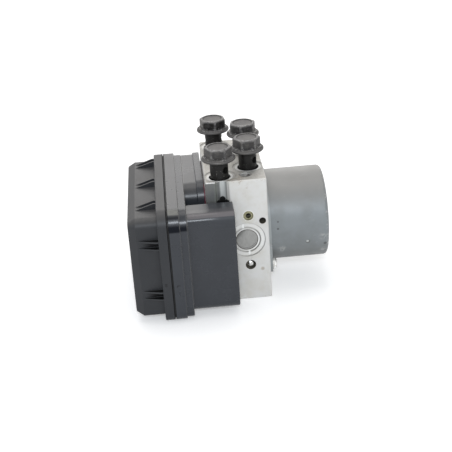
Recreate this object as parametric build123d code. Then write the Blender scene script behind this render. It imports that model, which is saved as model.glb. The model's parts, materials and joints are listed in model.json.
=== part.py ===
# Anti-lock brake unit of a two-wheeler: an aluminium valve block with a pump motor on its
# right side, a moulded controller on its left side and four banjo bolts in its top face.
# Millimetres. X runs from the controller to the motor, Y from front to back, Z upwards.
# The origin is the centre of the block's bottom face.

from build123d import *
import math
import os

# Valve block
block_width = 32.8
block_depth = 64.0
block_height = 72.2
block_edge_chamfer = 0.5

# Fits, each a clearance on the radius or the face
running_gap = 0.05
seat_gap = 0.05
air_gap = 0.6
coil_gap = 0.3
shaft_relief = 0.35
stop_gap = 0.05
spring_gap = 0.05
cut_overrun = 1.0

# Hose ports and banjo bolts, each at its share of the block's depth from the middle plane
port_radius = 5.0
port_depth = 14.0
port_spot_radius = 8.6
port_spot_depth = 0.35
port_chamfer = 0.9
left_port_x = -8.15
left_port_share = 0.364
right_port_x = 8.25
right_port_share = 0.19
bolt_thread_length = 12.5
bolt_point_chamfer = 0.8
bolt_grip = 9.9
bolt_neck_radius = 4.6
bolt_neck_length = 1.6
bolt_flange_radius = 9.2
bolt_flange_thickness = 1.3
bolt_flange_edge = 0.3
bolt_cone_height = 1.0
bolt_shoulder_lip = 0.3
bolt_hex_across = 13.4
bolt_crown_height = 0.75
bolt_head_height = 7.3
bolt_dish_radius = 5.3
bolt_dish_slope = 0.8
bolt_dish_depth = 0.5
bolt_bore_radius = 2.2
bolt_bore_overrun = 0.8
bolt_cross_radius = 1.9
bolt_cross_height = 5.0
bolt_cross_turn = 46.0
bolt_turns = {"front_left": -3.0, "front_right": 4.0, "rear_left": 39.0, "rear_right": 18.0}

# Features of the block's front and rear faces
pump_x = 4.15
motor_axis_z = 36.8
pump_plug_radius = 6.1
pump_plug_recess = 0.6
pump_plug_length = 5.8
pump_plug_dish = 0.3
pump_plug_rim = 0.9
stake_ring_inner = 7.0
stake_ring_outer = 7.6
stake_ring_depth = 0.8
pump_spot_radius = 10.0
pump_spot_depth = 0.4
stake_mark_width = 1.5
stake_mark_length = 2.6
stake_mark_depth = 0.7
stake_mark_radius = 8.25
stake_mark_turns = [102.0, -83.0]
sleeve_x = 5.55
sleeve_z = 51.2
sleeve_radius = 2.8
sleeve_bore_radius = 1.5
sleeve_length = 2.4
sleeve_recess = 0.1
ball_x = 5.45
ball_z = 21.4
ball_radius = 2.85
ball_recess = 0.6
drill_radius = 1.2
drill_depth = 12.0
blind_hole_x = 13.15
blind_hole_z = 47.6
blind_hole_radius = 1.9
blind_hole_depth = 9.0
top_plug_x = 5.7
top_plug_y = 24.15
top_plug_radius = 3.0
top_plug_length = 3.2
top_plug_recess = 0.3
top_plug_edge = 0.4
top_plug_rim = 0.9
top_plug_dish = 0.8
relief_edge_x = -3.85
relief_depth = 0.4
groove_x = -7.65
groove_radius = 4.4
groove_offset = 2.0
groove_below_top = 14.2
pocket_radius = 4.1
pocket_depth = 2.6
pocket_below_top = 10.3
pocket_length = 20.0

# Threaded holes for the bracket, in the bottom and rear faces
bracket_hole_radius = 2.5
bracket_hole_depth = 10.0
bracket_hole_spacing = 52.0
rear_hole_x = 0.0
rear_hole_z = 14.5

# Solenoid valves, in two rows and two columns
valve_front_y = -5.0
valve_rear_margin = 12.0
valve_low_z = 18.0
valve_below_top = 20.2
valve_body_radius = 5.0
valve_body_length = 11.0
valve_dome_radius = 3.6
valve_dome_length = 17.0
valve_dome_wall = 0.9
valve_tip_radius = 3.4
valve_tip_length = 2.5
valve_groove_depth = 0.5
valve_groove_width = 1.4
valve_edge = 0.3
valve_dome_edge = 0.6
plunger_length = 12.0
plunger_lift = 0.3
needle_radius = 1.1
needle_length = 5.2
needle_point = 0.7
valve_seat_radius = 0.5
valve_spring_length = 2.0
valve_spring_wire = 0.2
valve_spring_turns = 2
coil_radius = 8.5
coil_top_radius = 7.2
coil_length = 18.4
coil_top_length = 1.2
coil_bore_gap = 0.2
coil_pin_radius = 0.5
coil_pin_spacing = 5.0

# Pump motor
can_radius = 25.9
can_length = 34.4
can_wall = 1.6
can_end_radius = 2.0
can_flange_radius = 27.5
can_flange_thickness = 1.8
can_ear_radius = 4.9
can_ear_length = 15.0
can_ear_width = 26.0
screw_circle_radius = 30.6
screw_turns = [221.5, 20.0]
motor_screw_radius = 2.0
motor_screw_head_radius = 3.5
motor_screw_head_height = 2.4
motor_screw_head_edge = 0.5
motor_screw_hole_gap = 0.1
motor_screw_length = 9.0
motor_screw_socket_radius = 1.6
motor_screw_socket_depth = 1.4
shaft_radius = 3.0
drive_bearing_radius = 9.5
drive_bearing_bore = 4.0
drive_bearing_width = 6.0
drive_bearing_from_face = 0.2
bearing_race_width = 1.4
bearing_shield_depth = 0.4
tail_bearing_radius = 6.0
tail_bearing_width = 3.0
eccentric_radius = 5.0
eccentric_offset = 0.6
eccentric_width = 7.5
eccentric_ring_radius = 8.0
eccentric_groove_width = 1.0
eccentric_groove_depth = 0.3
shaft_nose_length = 1.0
shaft_nose_gap = 2.0
shaft_tail_gap = 1.0
magnet_thickness = 4.6
magnet_length = 18.0
magnet_arc = 70.0
core_length = 13.0
core_slots = 8
slot_width = 4.4
slot_mouth = 1.6
slot_floor_radius = 8.5
slot_roof = 2.2
end_winding_length = 1.7
end_winding_gap = 0.8
winding_gap = 0.15
winding_step = 0.4
commutator_radius = 7.5
commutator_length = 8.0
commutator_slit_depth = 0.6
commutator_slit_width = 0.5
brush_holder_gap = 0.3
brush_holder_thickness = 3.0
brush_box_gap = 0.6
brush_size = 5.0
brush_length = 7.5
brush_box_wall = 1.0
brush_box_end = 22.4
brush_box_start_gap = 1.4
brush_spring_radius = 1.6
brush_spring_wire = 0.4
brush_spring_turns = 4
commutator_gap = 0.1
contact_above_axis = 13.2
contact_radius = 1.6
contact_hole_gap = 0.3
contact_sleeve_radius = 2.3

# Pump elements
piston_radius = 3.2
piston_length = 11.8
piston_gap = 0.1
piston_groove_depth = 0.4
piston_groove_width = 1.2
piston_groove_place = 8.0
piston_edge = 0.4
pump_spring_wire = 0.35
pump_spring_turns = 4
pump_spring_bore_gap = 0.1

# Low-pressure accumulators in the bottom face
accumulator_x = 3.0
accumulator_y = 12.0
accumulator_radius = 7.0
accumulator_depth = 20.0
accumulator_piston_length = 6.0
accumulator_piston_wall = 1.6
accumulator_skirt = 3.0
accumulator_head_gap = 0.3
accumulator_cap_radius = 8.0
accumulator_cap_recess = 0.3
accumulator_cap_thickness = 3.5
accumulator_cap_rim = 2.2
accumulator_cap_dish = 1.0
accumulator_cap_edge = 0.4
accumulator_ring_top = 1.2
accumulator_ring_bottom = 2.6
accumulator_ring_depth = 0.6
accumulator_spring_bore_gap = 0.3
accumulator_spring_wire = 0.6
accumulator_spring_turns = 4

# Controller: its depth runs leftwards from the block's left face, and its height and
# width are set by how far it stands inside or beyond the block's top, front and rear
seal_thickness = 0.7
seam_from_block = 21.8
seam_gap = 0.4
housing_flange_depth = 6.2
band_depth = 4.0
cover_flange_depth = 5.7
cover_depth = 15.55
cover_chamfer_depth = 4.1
cover_chamfer_inset = 2.3
front_overhang = 20.5
back_overhang = 12.5
controller_bottom = 0.75
controller_below_top = 7.6
top_corner_radius = 8.7
bottom_corner_radius = 5.0
band_inset = 1.0
band_top_radius = 8.7
cover_inset = 3.55
cover_wall = 2.0
housing_wall = 3.0
housing_floor = 2.0
cover_lip_inset = 1.0
smallest_corner = 1.0
moulded_edge = 0.5
cover_face_edge = 1.0
board_clearance = 0.6
board_thickness = 1.6
board_from_seam = 0.55
board_post_radius = 2.0
board_post_inset = 6.0

# Solenoid chamber of the controller
chamber_front = -15.9
chamber_back_inset = 1.2
chamber_bottom_inset = 2.75
chamber_top_inset = 1.2
chamber_top_radius = 9.0
chamber_bottom_radius = 4.0
chamber_wall = 2.0
chamber_end_wall = 4.0
chamber_lip_width = 3.9
chamber_lip_height = 1.0
seal_rear_margin = 0.6
seal_width = 2.0
seal_corner_radius = 3.0
screw_front_offset = 4.5
screw_rear_offset = 7.0
screw_low_offset = 2.0
screw_boss_radius = 3.4
screw_boss_length = 9.0
screw_radius = 1.7
screw_head_radius = 3.0
screw_head_height = 2.6
screw_grip_depth = 8.0
screw_tip_gap = 0.5
screw_drive_radius = 1.5
screw_drive_depth = 1.4
screw_hole_gap = 0.1

# Connector shroud in front of the block
shroud_inset = 3.4
shroud_gap = 0.45
shroud_length = 25.3
shroud_wall = 1.8
shroud_top_radius = 4.8
shroud_back_radius = 1.5
shroud_floor = 2.0
pin_size = 1.0
pin_reach = 13.0
pin_row_offsets = [11.15, 5.95]
pin_first_height = 11.8
pin_hole_gap = 0.02
pin_count = 8
blade_offset = 8.55
blade_width = 5.0
blade_thickness = 1.0
blade_below_top = 16.7
blade_pitch = 6.0
blade_to_pin = 6.0

# Gussets on the cover, in pairs
gusset_thickness = 1.0
gusset_pitch = 4.3
gusset_reach = 11.0
gusset_height = 3.15
gusset_flat = 1.2
gusset_root = 0.5
gusset_top_places = [-33.95, -2.85, 27.45]
gusset_low_height = 14.3
gusset_high_below_top = 19.6

# Parts on the circuit board
capacitor_radius = 6.3
capacitor_length = 14.0
capacitor_edge = 0.6
capacitor_from_front = 16.5
capacitor_below_top = 15.7
chip_height = 1.6
chips = [(-30.0, 22.0, 14.0, 14.0), (-6.0, 35.0, 10.0, 12.0), (20.0, 22.0, 8.0, 6.0), (20.0, 46.0, 8.0, 6.0)]

# Places that follow from the sizes above
left_face = -block_width / 2
right_face = block_width / 2
front_face = -block_depth / 2
rear_face = block_depth / 2
left_port_y = left_port_share * block_depth
right_port_y = right_port_share * block_depth
seam_x = left_face - seam_from_block
housing_flange_end = seam_x + housing_flange_depth
band_end = housing_flange_end + band_depth
chamber_end = left_face - seal_thickness
cover_flange_start = seam_x - cover_flange_depth
cover_start = cover_flange_start - cover_depth
controller_front = front_face - front_overhang
controller_back = rear_face + back_overhang
controller_top = block_height - controller_below_top
chamber_back = controller_back - chamber_back_inset
chamber_bottom = controller_bottom + chamber_bottom_inset
chamber_top = controller_top - chamber_top_inset
seal_back = rear_face - seal_rear_margin
shroud_back = front_face - shroud_gap
shroud_end = band_end + shroud_length
floor_x = band_end - housing_floor
board_face = seam_x + board_from_seam + board_thickness
shaft_bore_radius = drive_bearing_radius + seat_gap
chamber_end_x = pump_x - eccentric_width / 2 - shaft_nose_length - shaft_nose_gap
drive_bearing_end = right_face - drive_bearing_from_face
drive_bearing_start = drive_bearing_end - drive_bearing_width
can_end = right_face + can_length
can_inner = can_radius - can_wall
holder_start = right_face + brush_holder_gap
holder_end = holder_start + brush_holder_thickness
brush_x = holder_end + brush_box_gap + brush_box_wall + brush_size / 2
commutator_start = holder_end + end_winding_gap
core_start = commutator_start + commutator_length + end_winding_length + end_winding_gap
core_end = core_start + core_length
core_radius = can_inner - seat_gap - magnet_thickness - air_gap
piston_inner = eccentric_ring_radius + eccentric_offset + piston_gap
piston_outer = piston_inner + piston_length
pump_plug_outer = block_depth / 2 - pump_plug_recess
pump_plug_inner = pump_plug_outer - pump_plug_length
accumulator_cap_top = accumulator_cap_recess + accumulator_cap_thickness
valve_rear_y = rear_face - valve_rear_margin
valve_high_z = block_height - valve_below_top
valve_middle_y = (valve_front_y + valve_rear_y) / 2
valve_middle_z = (valve_low_z + valve_high_z) / 2
contact_y = valve_middle_y
contact_z = motor_axis_z + contact_above_axis
screw_places = [
    (valve_front_y - screw_front_offset, valve_middle_z),
    (valve_rear_y + screw_rear_offset, valve_middle_z),
    (valve_middle_y, valve_low_z - screw_low_offset),
]
pin_rows = [shroud_back - offset for offset in pin_row_offsets]
blade_y = shroud_back - blade_offset
blade_places = [controller_top - blade_below_top, controller_top - blade_below_top + blade_pitch]
pin_first_z = controller_bottom + pin_first_height
pin_pitch = (blade_places[0] - blade_to_pin - pin_first_z) / (pin_count - 1)
gusset_side_places = [controller_bottom + gusset_low_height, controller_top - gusset_high_below_top]
capacitor_y = controller_front + capacitor_from_front
capacitor_z = controller_top - capacitor_below_top
valve_places = {
    "inlet_front": (valve_front_y, valve_high_z, 1),
    "inlet_rear": (valve_rear_y, valve_high_z, 1),
    "outlet_front": (valve_front_y, valve_low_z, -1),
    "outlet_rear": (valve_rear_y, valve_low_z, -1),
}
bolt_places = {
    "front_left": (left_port_x, -left_port_y),
    "front_right": (right_port_x, -right_port_y),
    "rear_left": (left_port_x, left_port_y),
    "rear_right": (right_port_x, right_port_y),
}


# Simple solids along each direction

def rod_x(radius, x_start, x_end, y=0.0, z=0.0):
    return Pos((x_start + x_end) / 2, y, z) * Rot(0, 90, 0) * Cylinder(radius, x_end - x_start)


def rod_y(radius, y_start, y_end, x=0.0, z=0.0):
    return Pos(x, (y_start + y_end) / 2, z) * Rot(90, 0, 0) * Cylinder(radius, abs(y_end - y_start))


def rod_z(radius, z_start, z_end, x=0.0, y=0.0):
    return Pos(x, y, (z_start + z_end) / 2) * Cylinder(radius, z_end - z_start)


def box_between(x_start, x_end, y_start, y_end, z_start, z_end):
    middle = Pos((x_start + x_end) / 2, (y_start + y_end) / 2, (z_start + z_end) / 2)
    return middle * Box(abs(x_end - x_start), abs(y_end - y_start), abs(z_end - z_start))


def turned(points, axis):
    return revolve(make_face(Polyline(*points, close=True)), axis)


def turned_x(points, y=0.0, z=0.0):
    """A turned solid from points of (x, radius)."""
    return Pos(0, y, z) * turned(points, Axis.X)


def turned_y(points, x=0.0, z=0.0):
    """A turned solid from points of (radius, y)."""
    return Pos(x, 0, z) * turned(points, Axis.Y)


def turned_z(points, x=0.0, y=0.0):
    """A turned solid from points of (radius, z)."""
    profile = make_face(Polyline(*[(radius, 0, z) for radius, z in points], close=True))
    return Pos(x, y, 0) * revolve(profile, Axis.Z)


def outline(x, y_start, y_end, z_start, z_end, top_radius, bottom_radius):
    """A rectangle with rounded corners, in the plane across X at x."""
    corners = [(y_start, z_start), (y_end, z_start), (y_end, z_end), (y_start, z_end)]
    radii = [bottom_radius, bottom_radius, top_radius, top_radius]
    return Plane.YZ.offset(x) * make_face(FilletPolyline(*corners, radius=radii, close=True))


def controller_outline(x, inset, top_radius=None):
    """The controller's outline at x, drawn in by inset, with its top corners' own radius or not."""
    return outline(
        x,
        controller_front + inset,
        controller_back - inset,
        controller_bottom + inset,
        controller_top - inset,
        top_radius or max(top_corner_radius - inset, smallest_corner),
        max(bottom_corner_radius - inset, smallest_corner),
    )


def rounded_ends(slab, start_radius, end_radius):
    """Rounds the edges round a slab's two ends along X."""
    if start_radius:
        slab = fillet(slab.edges().group_by(Axis.X)[0], start_radius)
    if end_radius:
        slab = fillet(slab.edges().group_by(Axis.X)[-1], end_radius)
    return slab


def controller_slab(x_start, x_end, inset, top_radius=None):
    return extrude(controller_outline(x_start, inset, top_radius), x_end - x_start)


def chamber_slab(x_start, x_end, inset):
    """A slab with the outline of the solenoid chamber."""
    face = outline(
        x_start,
        chamber_front + inset,
        chamber_back - inset,
        chamber_bottom + inset,
        chamber_top - inset,
        chamber_top_radius - inset,
        chamber_bottom_radius - inset,
    )
    return extrude(face, x_end - x_start)


def coil_spring(mean_radius, wire_radius, length, turns):
    """A compression spring along Z, from zero to length."""
    height = length - 2 * wire_radius
    path = Helix(pitch=height / turns, height=height, radius=mean_radius)
    wire = Plane(origin=path @ 0, z_dir=path % 0) * Rectangle(2 * wire_radius, 2 * wire_radius)
    return Pos(0, 0, wire_radius) * sweep(wire, path=path, is_frenet=True)


# Valve block

def face_features(side):
    """Tools that cut the front face, or with side = 1 the rear face."""
    face = side * block_depth / 2
    tools = []
    tools.append(rod_y(piston_radius + running_gap, 0, side * pump_plug_inner, pump_x, motor_axis_z))
    plug_mouth = rod_y(pump_plug_radius + seat_gap, side * pump_plug_inner, face, pump_x, motor_axis_z)
    tools.append(plug_mouth)
    tools.append(rod_y(pump_spot_radius, face - side * pump_spot_depth, face, pump_x, motor_axis_z))
    ring_depth = face - side * stake_ring_depth
    ring = rod_y(stake_ring_outer, ring_depth, face, pump_x, motor_axis_z)
    tools.append(ring - rod_y(stake_ring_inner, ring_depth, face, pump_x, motor_axis_z))
    for turn in stake_mark_turns:
        mark = Rot(0, -turn, 0) * Pos(stake_mark_radius, 0, 0)
        mark = mark * Box(stake_mark_length, 2 * stake_mark_depth, stake_mark_width)
        tools.append(Pos(pump_x, face, motor_axis_z) * mark)
    sleeve_floor = face - side * (sleeve_length + sleeve_recess)
    tools.append(rod_y(sleeve_radius + seat_gap, sleeve_floor, face, sleeve_x, sleeve_z))
    tools.append(rod_y(drill_radius, face - side * drill_depth, face, sleeve_x, sleeve_z))
    ball_floor = face - side * (ball_recess + 2 * ball_radius)
    tools.append(rod_y(ball_radius + seat_gap, ball_floor, face, ball_x, ball_z))
    tools.append(rod_y(drill_radius, face - side * drill_depth, face, ball_x, ball_z))
    hole_floor = face - side * blind_hole_depth
    tools.append(rod_y(blind_hole_radius, hole_floor, face, blind_hole_x, blind_hole_z))
    return tools


def top_features():
    """Tools for the four hose ports and the two pressed plugs."""
    tools = []
    for x, y in bolt_places.values():
        tools.append(rod_z(port_radius, block_height - port_depth, block_height, x, y))
        tools.append(rod_z(port_spot_radius, block_height - port_spot_depth, block_height, x, y))
        chamfer_top = block_height - port_spot_depth
        points = [
            (0, chamfer_top - port_chamfer),
            (port_radius, chamfer_top - port_chamfer),
            (port_radius + port_chamfer, chamfer_top),
            (0, chamfer_top),
        ]
        tools.append(turned_z(points, x, y))
    for y in (-top_plug_y, top_plug_y):
        floor = block_height - top_plug_recess - top_plug_length
        tools.append(rod_z(top_plug_radius + seat_gap, floor, block_height, top_plug_x, y))
    return tools


def front_relief():
    """The milled relief at the front left, its upright groove and the pocket below it."""
    relief = box_between(left_face, relief_edge_x, front_face, front_face + relief_depth, 0, block_height)
    centre_y = front_face - groove_offset
    groove = rod_z(groove_radius, block_height - groove_below_top, block_height, groove_x, centre_y)
    high_z = block_height - pocket_below_top - pocket_radius
    low_z = high_z - pocket_length
    pocket_floor = front_face + pocket_depth
    pocket = box_between(
        groove_x - pocket_radius, groove_x + pocket_radius, front_face, pocket_floor, low_z, high_z
    )
    for z in (low_z, high_z):
        pocket += rod_y(pocket_radius, front_face, pocket_floor, groove_x, z)
    return [relief, groove, pocket]


def bottom_features():
    """Tools for the accumulators and the bracket's threaded holes."""
    tools = []
    for y in (-accumulator_y, accumulator_y):
        tools.append(rod_z(accumulator_radius + running_gap, 0, accumulator_depth, accumulator_x, y))
        tools.append(rod_z(accumulator_cap_radius + seat_gap, 0, accumulator_cap_top, accumulator_x, y))
    for side in (-1, 1):
        y = side * bracket_hole_spacing / 2
        tools.append(rod_z(bracket_hole_radius, 0, bracket_hole_depth, 0, y))
    hole_floor = rear_face - bracket_hole_depth
    tools.append(rod_y(bracket_hole_radius, hole_floor, rear_face, rear_hole_x, rear_hole_z))
    return tools


def side_features():
    """Tools for the valves, screws, motor shaft and motor contact."""
    tools = []
    valve_end = left_face + valve_body_length
    for y, z, _ in valve_places.values():
        tools.append(rod_x(valve_body_radius + seat_gap, left_face, valve_end, y, z))
    for y, z in screw_places:
        tools.append(rod_x(screw_radius + seat_gap, left_face, left_face + screw_grip_depth, y, z))
    tools.append(rod_x(shaft_bore_radius, chamber_end_x, right_face, 0, motor_axis_z))
    tools.append(rod_x(contact_sleeve_radius + seat_gap, left_face, right_face, contact_y, contact_z))
    for y, z in motor_screw_places():
        screw_floor = right_face - (motor_screw_length - can_flange_thickness) - screw_tip_gap
        tools.append(rod_x(motor_screw_radius + seat_gap, screw_floor, right_face, y, z))
    return tools


def valve_block():
    body = Pos(0, 0, block_height / 2) * Box(block_width, block_depth, block_height)
    body = chamfer(body.edges(), block_edge_chamfer)
    tools = top_features() + bottom_features() + side_features() + front_relief()
    tools += face_features(-1) + face_features(1)
    return body - tools


# Banjo bolts

def banjo_bolt(name):
    """A flanged hexagon bolt with an axial bore and a cross hole, with its head above the grip."""
    radius = port_radius - seat_gap
    rim = bolt_grip + bolt_flange_thickness
    shoulder = rim + bolt_cone_height
    top = bolt_grip + bolt_head_height
    hex_radius = bolt_hex_across / 2
    corner = hex_radius / math.cos(math.radians(30))
    shank = turned_z([
        (0, -bolt_thread_length),
        (radius - bolt_point_chamfer, -bolt_thread_length),
        (radius, -bolt_thread_length + bolt_point_chamfer),
        (radius, bolt_grip - bolt_neck_length),
        (bolt_neck_radius, bolt_grip - bolt_neck_length + radius - bolt_neck_radius),
        (bolt_neck_radius, bolt_grip),
        (bolt_flange_radius - bolt_flange_edge, bolt_grip),
        (bolt_flange_radius, bolt_grip + bolt_flange_edge),
        (bolt_flange_radius, rim - bolt_flange_edge),
        (bolt_flange_radius - bolt_flange_edge, rim),
        (corner + bolt_shoulder_lip, shoulder),
        (0, shoulder),
    ])
    hexagon = Pos(0, 0, rim) * extrude(RegularPolygon(hex_radius, 6, major_radius=False), top - rim)
    crown = turned_z([
        (0, rim),
        (corner + bolt_shoulder_lip, rim),
        (corner + bolt_shoulder_lip, top - bolt_crown_height),
        (hex_radius - bolt_flange_edge, top),
        (bolt_dish_radius, top),
        (bolt_dish_radius - bolt_dish_slope, top - bolt_dish_depth),
        (0, top - bolt_dish_depth),
    ])
    bolt = shank + (hexagon & crown)
    bore_end = bolt_cross_height + bolt_cross_radius + bolt_bore_overrun
    bolt -= rod_z(bolt_bore_radius, -bolt_thread_length, bore_end)
    cross_hole = rod_y(bolt_cross_radius, -bolt_flange_radius, bolt_flange_radius, 0, bolt_cross_height)
    bolt -= Rot(0, 0, bolt_cross_turn) * cross_hole
    x, y = bolt_places[name]
    return Pos(x, y, block_height) * Rot(0, 0, bolt_turns[name]) * bolt


# Small pieces in the block's faces

def pump_plug(side):
    outer = side * pump_plug_outer
    plug = rod_y(pump_plug_radius, side * pump_plug_inner, outer, pump_x, motor_axis_z)
    dish_floor = outer - side * pump_plug_dish
    dish = rod_y(pump_plug_radius - pump_plug_rim, dish_floor, outer, pump_x, motor_axis_z)
    return plug - dish


def orifice_sleeves():
    sleeves = []
    for side in (-1, 1):
        face = side * (block_depth / 2 - sleeve_recess)
        floor = face - side * sleeve_length
        sleeve = rod_y(sleeve_radius, floor, face, sleeve_x, sleeve_z)
        sleeves.append(sleeve - rod_y(sleeve_bore_radius, floor, face, sleeve_x, sleeve_z))
    return group(sleeves)


def sealing_balls():
    places = [side * (block_depth / 2 - ball_recess - ball_radius) for side in (-1, 1)]
    return group([Pos(ball_x, y, ball_z) * Sphere(ball_radius) for y in places])


def bore_plugs():
    top = block_height - top_plug_recess
    plugs = []
    for y in (-top_plug_y, top_plug_y):
        plug = turned_z([
            (0, top - top_plug_length),
            (top_plug_radius, top - top_plug_length),
            (top_plug_radius, top - top_plug_edge),
            (top_plug_radius - top_plug_edge, top),
            (top_plug_radius - top_plug_rim, top),
            (0, top - top_plug_dish),
        ], top_plug_x, y)
        plugs.append(plug)
    return group(plugs)


def group(pieces):
    """Separate solids that share one node."""
    return Compound(children=[solid for piece in pieces for solid in piece.solids()])


# Solenoid valves

def valve_cavity():
    """Where the plunger's cavity starts and ends along X."""
    start = left_face - valve_dome_length + valve_dome_wall
    return start, start + valve_spring_length + plunger_lift + plunger_length + 2 * stop_gap


def valve_body(y, z):
    tip = left_face + valve_body_length
    shoulder = tip - valve_tip_length
    dome_start = left_face - valve_dome_length
    cavity_radius = valve_dome_radius - valve_dome_wall
    cavity_start, cavity_end = valve_cavity()
    groove_start = left_face + (valve_body_length - valve_groove_width) / 2
    groove_end = groove_start + valve_groove_width
    groove_floor = valve_body_radius - valve_groove_depth
    body = turned_x([
        (dome_start, 0),
        (dome_start, valve_dome_radius - valve_dome_edge),
        (dome_start + valve_dome_edge, valve_dome_radius),
        (left_face, valve_dome_radius),
        (left_face, valve_body_radius - valve_edge),
        (left_face + valve_edge, valve_body_radius),
        (groove_start, valve_body_radius),
        (groove_start, groove_floor),
        (groove_end, groove_floor),
        (groove_end, valve_body_radius),
        (shoulder, valve_body_radius),
        (shoulder, valve_tip_radius),
        (tip, valve_tip_radius),
        (tip, 0),
    ], y, z)
    body -= rod_x(cavity_radius, cavity_start, cavity_end, y, z)
    needle_end = cavity_end + needle_length + 2 * stop_gap
    body -= rod_x(needle_radius + running_gap, cavity_end, needle_end, y, z)
    return body - rod_x(valve_seat_radius, needle_end, tip, y, z)


def plunger_span(direction):
    """The plunger's body along X: an inlet valve rests open at the left, an outlet valve shut."""
    cavity_start, cavity_end = valve_cavity()
    if direction > 0:
        return cavity_start + stop_gap, cavity_start + stop_gap + plunger_length
    return cavity_end - stop_gap - plunger_length, cavity_end - stop_gap


def valve_plunger(y, z, direction):
    start, end = plunger_span(direction)
    needle = end + needle_length + (valve_spring_length if direction > 0 else 0)
    radius = valve_dome_radius - valve_dome_wall - running_gap
    return turned_x([
        (start, 0),
        (start, radius - valve_edge),
        (start + valve_edge, radius),
        (end, radius),
        (end, needle_radius),
        (needle - needle_point, needle_radius),
        (needle, needle_radius - needle_point),
        (needle, 0),
    ], y, z)


def valve_spring(y, z, direction):
    """The return spring: round the needle of an inlet valve, behind an outlet valve's plunger."""
    cavity_start, cavity_end = valve_cavity()
    plunger_start, plunger_end = plunger_span(direction)
    start, end = (plunger_end, cavity_end) if direction > 0 else (cavity_start, plunger_start)
    radius = valve_dome_radius - valve_dome_wall - valve_spring_wire - coil_gap
    spring = coil_spring(radius, valve_spring_wire, end - start - 2 * stop_gap, valve_spring_turns)
    return Pos(start + stop_gap, y, z) * Rot(0, 90, 0) * spring


def valve_coil(y, z):
    end = left_face - coil_gap
    start = end - coil_length
    bore = valve_dome_radius + coil_bore_gap
    coil = turned_x([
        (start, bore),
        (start, coil_top_radius),
        (start + coil_top_length, coil_top_radius),
        (start + coil_top_length, coil_radius),
        (end, coil_radius),
        (end, bore),
    ], y, z)
    for side in (-1, 1):
        coil += rod_x(coil_pin_radius, board_face, start + coil_top_length, y + side * coil_pin_spacing, z)
    return coil


# Pump motor

def motor_screw_places():
    """The (y, z) places of the motor's screws."""
    angles = [math.radians(turn) for turn in screw_turns]
    radius = screw_circle_radius
    return [(radius * math.cos(angle), motor_axis_z + radius * math.sin(angle)) for angle in angles]


def motor_can():
    start = right_face
    flange_end = start + can_flange_thickness
    inner_end = can_end - can_wall
    shell = turned_x([
        (start, can_inner),
        (start, can_flange_radius),
        (flange_end, can_flange_radius),
        (flange_end, can_radius),
        (can_end, can_radius),
        (can_end, 0),
        (inner_end, 0),
        (inner_end, can_inner),
    ], 0, motor_axis_z)
    end_edge = shell.edges().filter_by(GeomType.CIRCLE).group_by(Axis.X)[-1]
    shell = fillet(end_edge, can_end_radius)
    for y, z in motor_screw_places():
        shell += screw_ear(y, z) - rod_x((can_inner + can_radius) / 2, start, flange_end, 0, motor_axis_z)
    for y, z in motor_screw_places():
        shell -= rod_x(motor_screw_radius + motor_screw_hole_gap, start, flange_end, y, z)
    return shell


def screw_ear(y, z):
    """A flat ear, drawn out of the motor's flange to a screw."""
    disc = Pos(0, motor_axis_z) * Circle(can_flange_radius)
    tip = Pos(y, z) * Circle(can_ear_radius)
    ear = make_hull(disc.edges() + tip.edges())
    angle = math.atan2(z - motor_axis_z, y)
    near = Rectangle(2 * can_ear_length, can_ear_width)
    near = Pos(y, z) * Rot(0, 0, math.degrees(angle)) * near
    return extrude(Plane.YZ.offset(right_face) * (ear & near), can_flange_thickness)


def motor_screws():
    screws = []
    start = right_face + can_flange_thickness
    for y, z in motor_screw_places():
        head = turned_x([
            (start, 0),
            (start, motor_screw_head_radius),
            (start + motor_screw_head_height - motor_screw_head_edge, motor_screw_head_radius),
            (start + motor_screw_head_height, motor_screw_head_radius - motor_screw_head_edge),
            (start + motor_screw_head_height, 0),
        ], y, z)
        shank = rod_x(motor_screw_radius, start - motor_screw_length, start, y, z)
        socket_start = start + motor_screw_head_height - motor_screw_socket_depth
        socket_plane = Plane.YZ.offset(socket_start)
        socket = socket_plane * Pos(y, z) * RegularPolygon(motor_screw_socket_radius, 6)
        screws.append(head + shank - extrude(socket, motor_screw_socket_depth))
    return group(screws)


def rotor_shaft():
    nose = pump_x - eccentric_width / 2 - shaft_nose_length
    eccentric_end = pump_x + eccentric_width / 2
    tail = can_end - can_wall - shaft_tail_gap
    journal = drive_bearing_bore - running_gap
    shaft = turned_x([
        (nose, 0),
        (nose, shaft_radius),
        (eccentric_end, shaft_radius),
        (eccentric_end, journal),
        (holder_end, journal),
        (holder_end, shaft_radius),
        (tail, shaft_radius),
        (tail, 0),
    ], 0, motor_axis_z)
    cam_z = motor_axis_z + eccentric_offset
    cam = rod_x(eccentric_radius, pump_x - eccentric_width / 2, eccentric_end, 0, cam_z)
    return shaft + cam


def eccentric_bearing():
    half = eccentric_width / 2
    inner = eccentric_radius + seat_gap
    middle = (inner + eccentric_ring_radius) / 2
    groove_floor = pump_x - half + eccentric_groove_depth
    groove_inner = middle - eccentric_groove_width / 2
    groove_outer = middle + eccentric_groove_width / 2
    return turned_x([
        (pump_x - half, inner),
        (pump_x - half, groove_inner),
        (groove_floor, groove_inner),
        (groove_floor, groove_outer),
        (pump_x - half, groove_outer),
        (pump_x - half, eccentric_ring_radius),
        (pump_x + half, eccentric_ring_radius),
        (pump_x + half, inner),
    ], 0, motor_axis_z + eccentric_offset)


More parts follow.
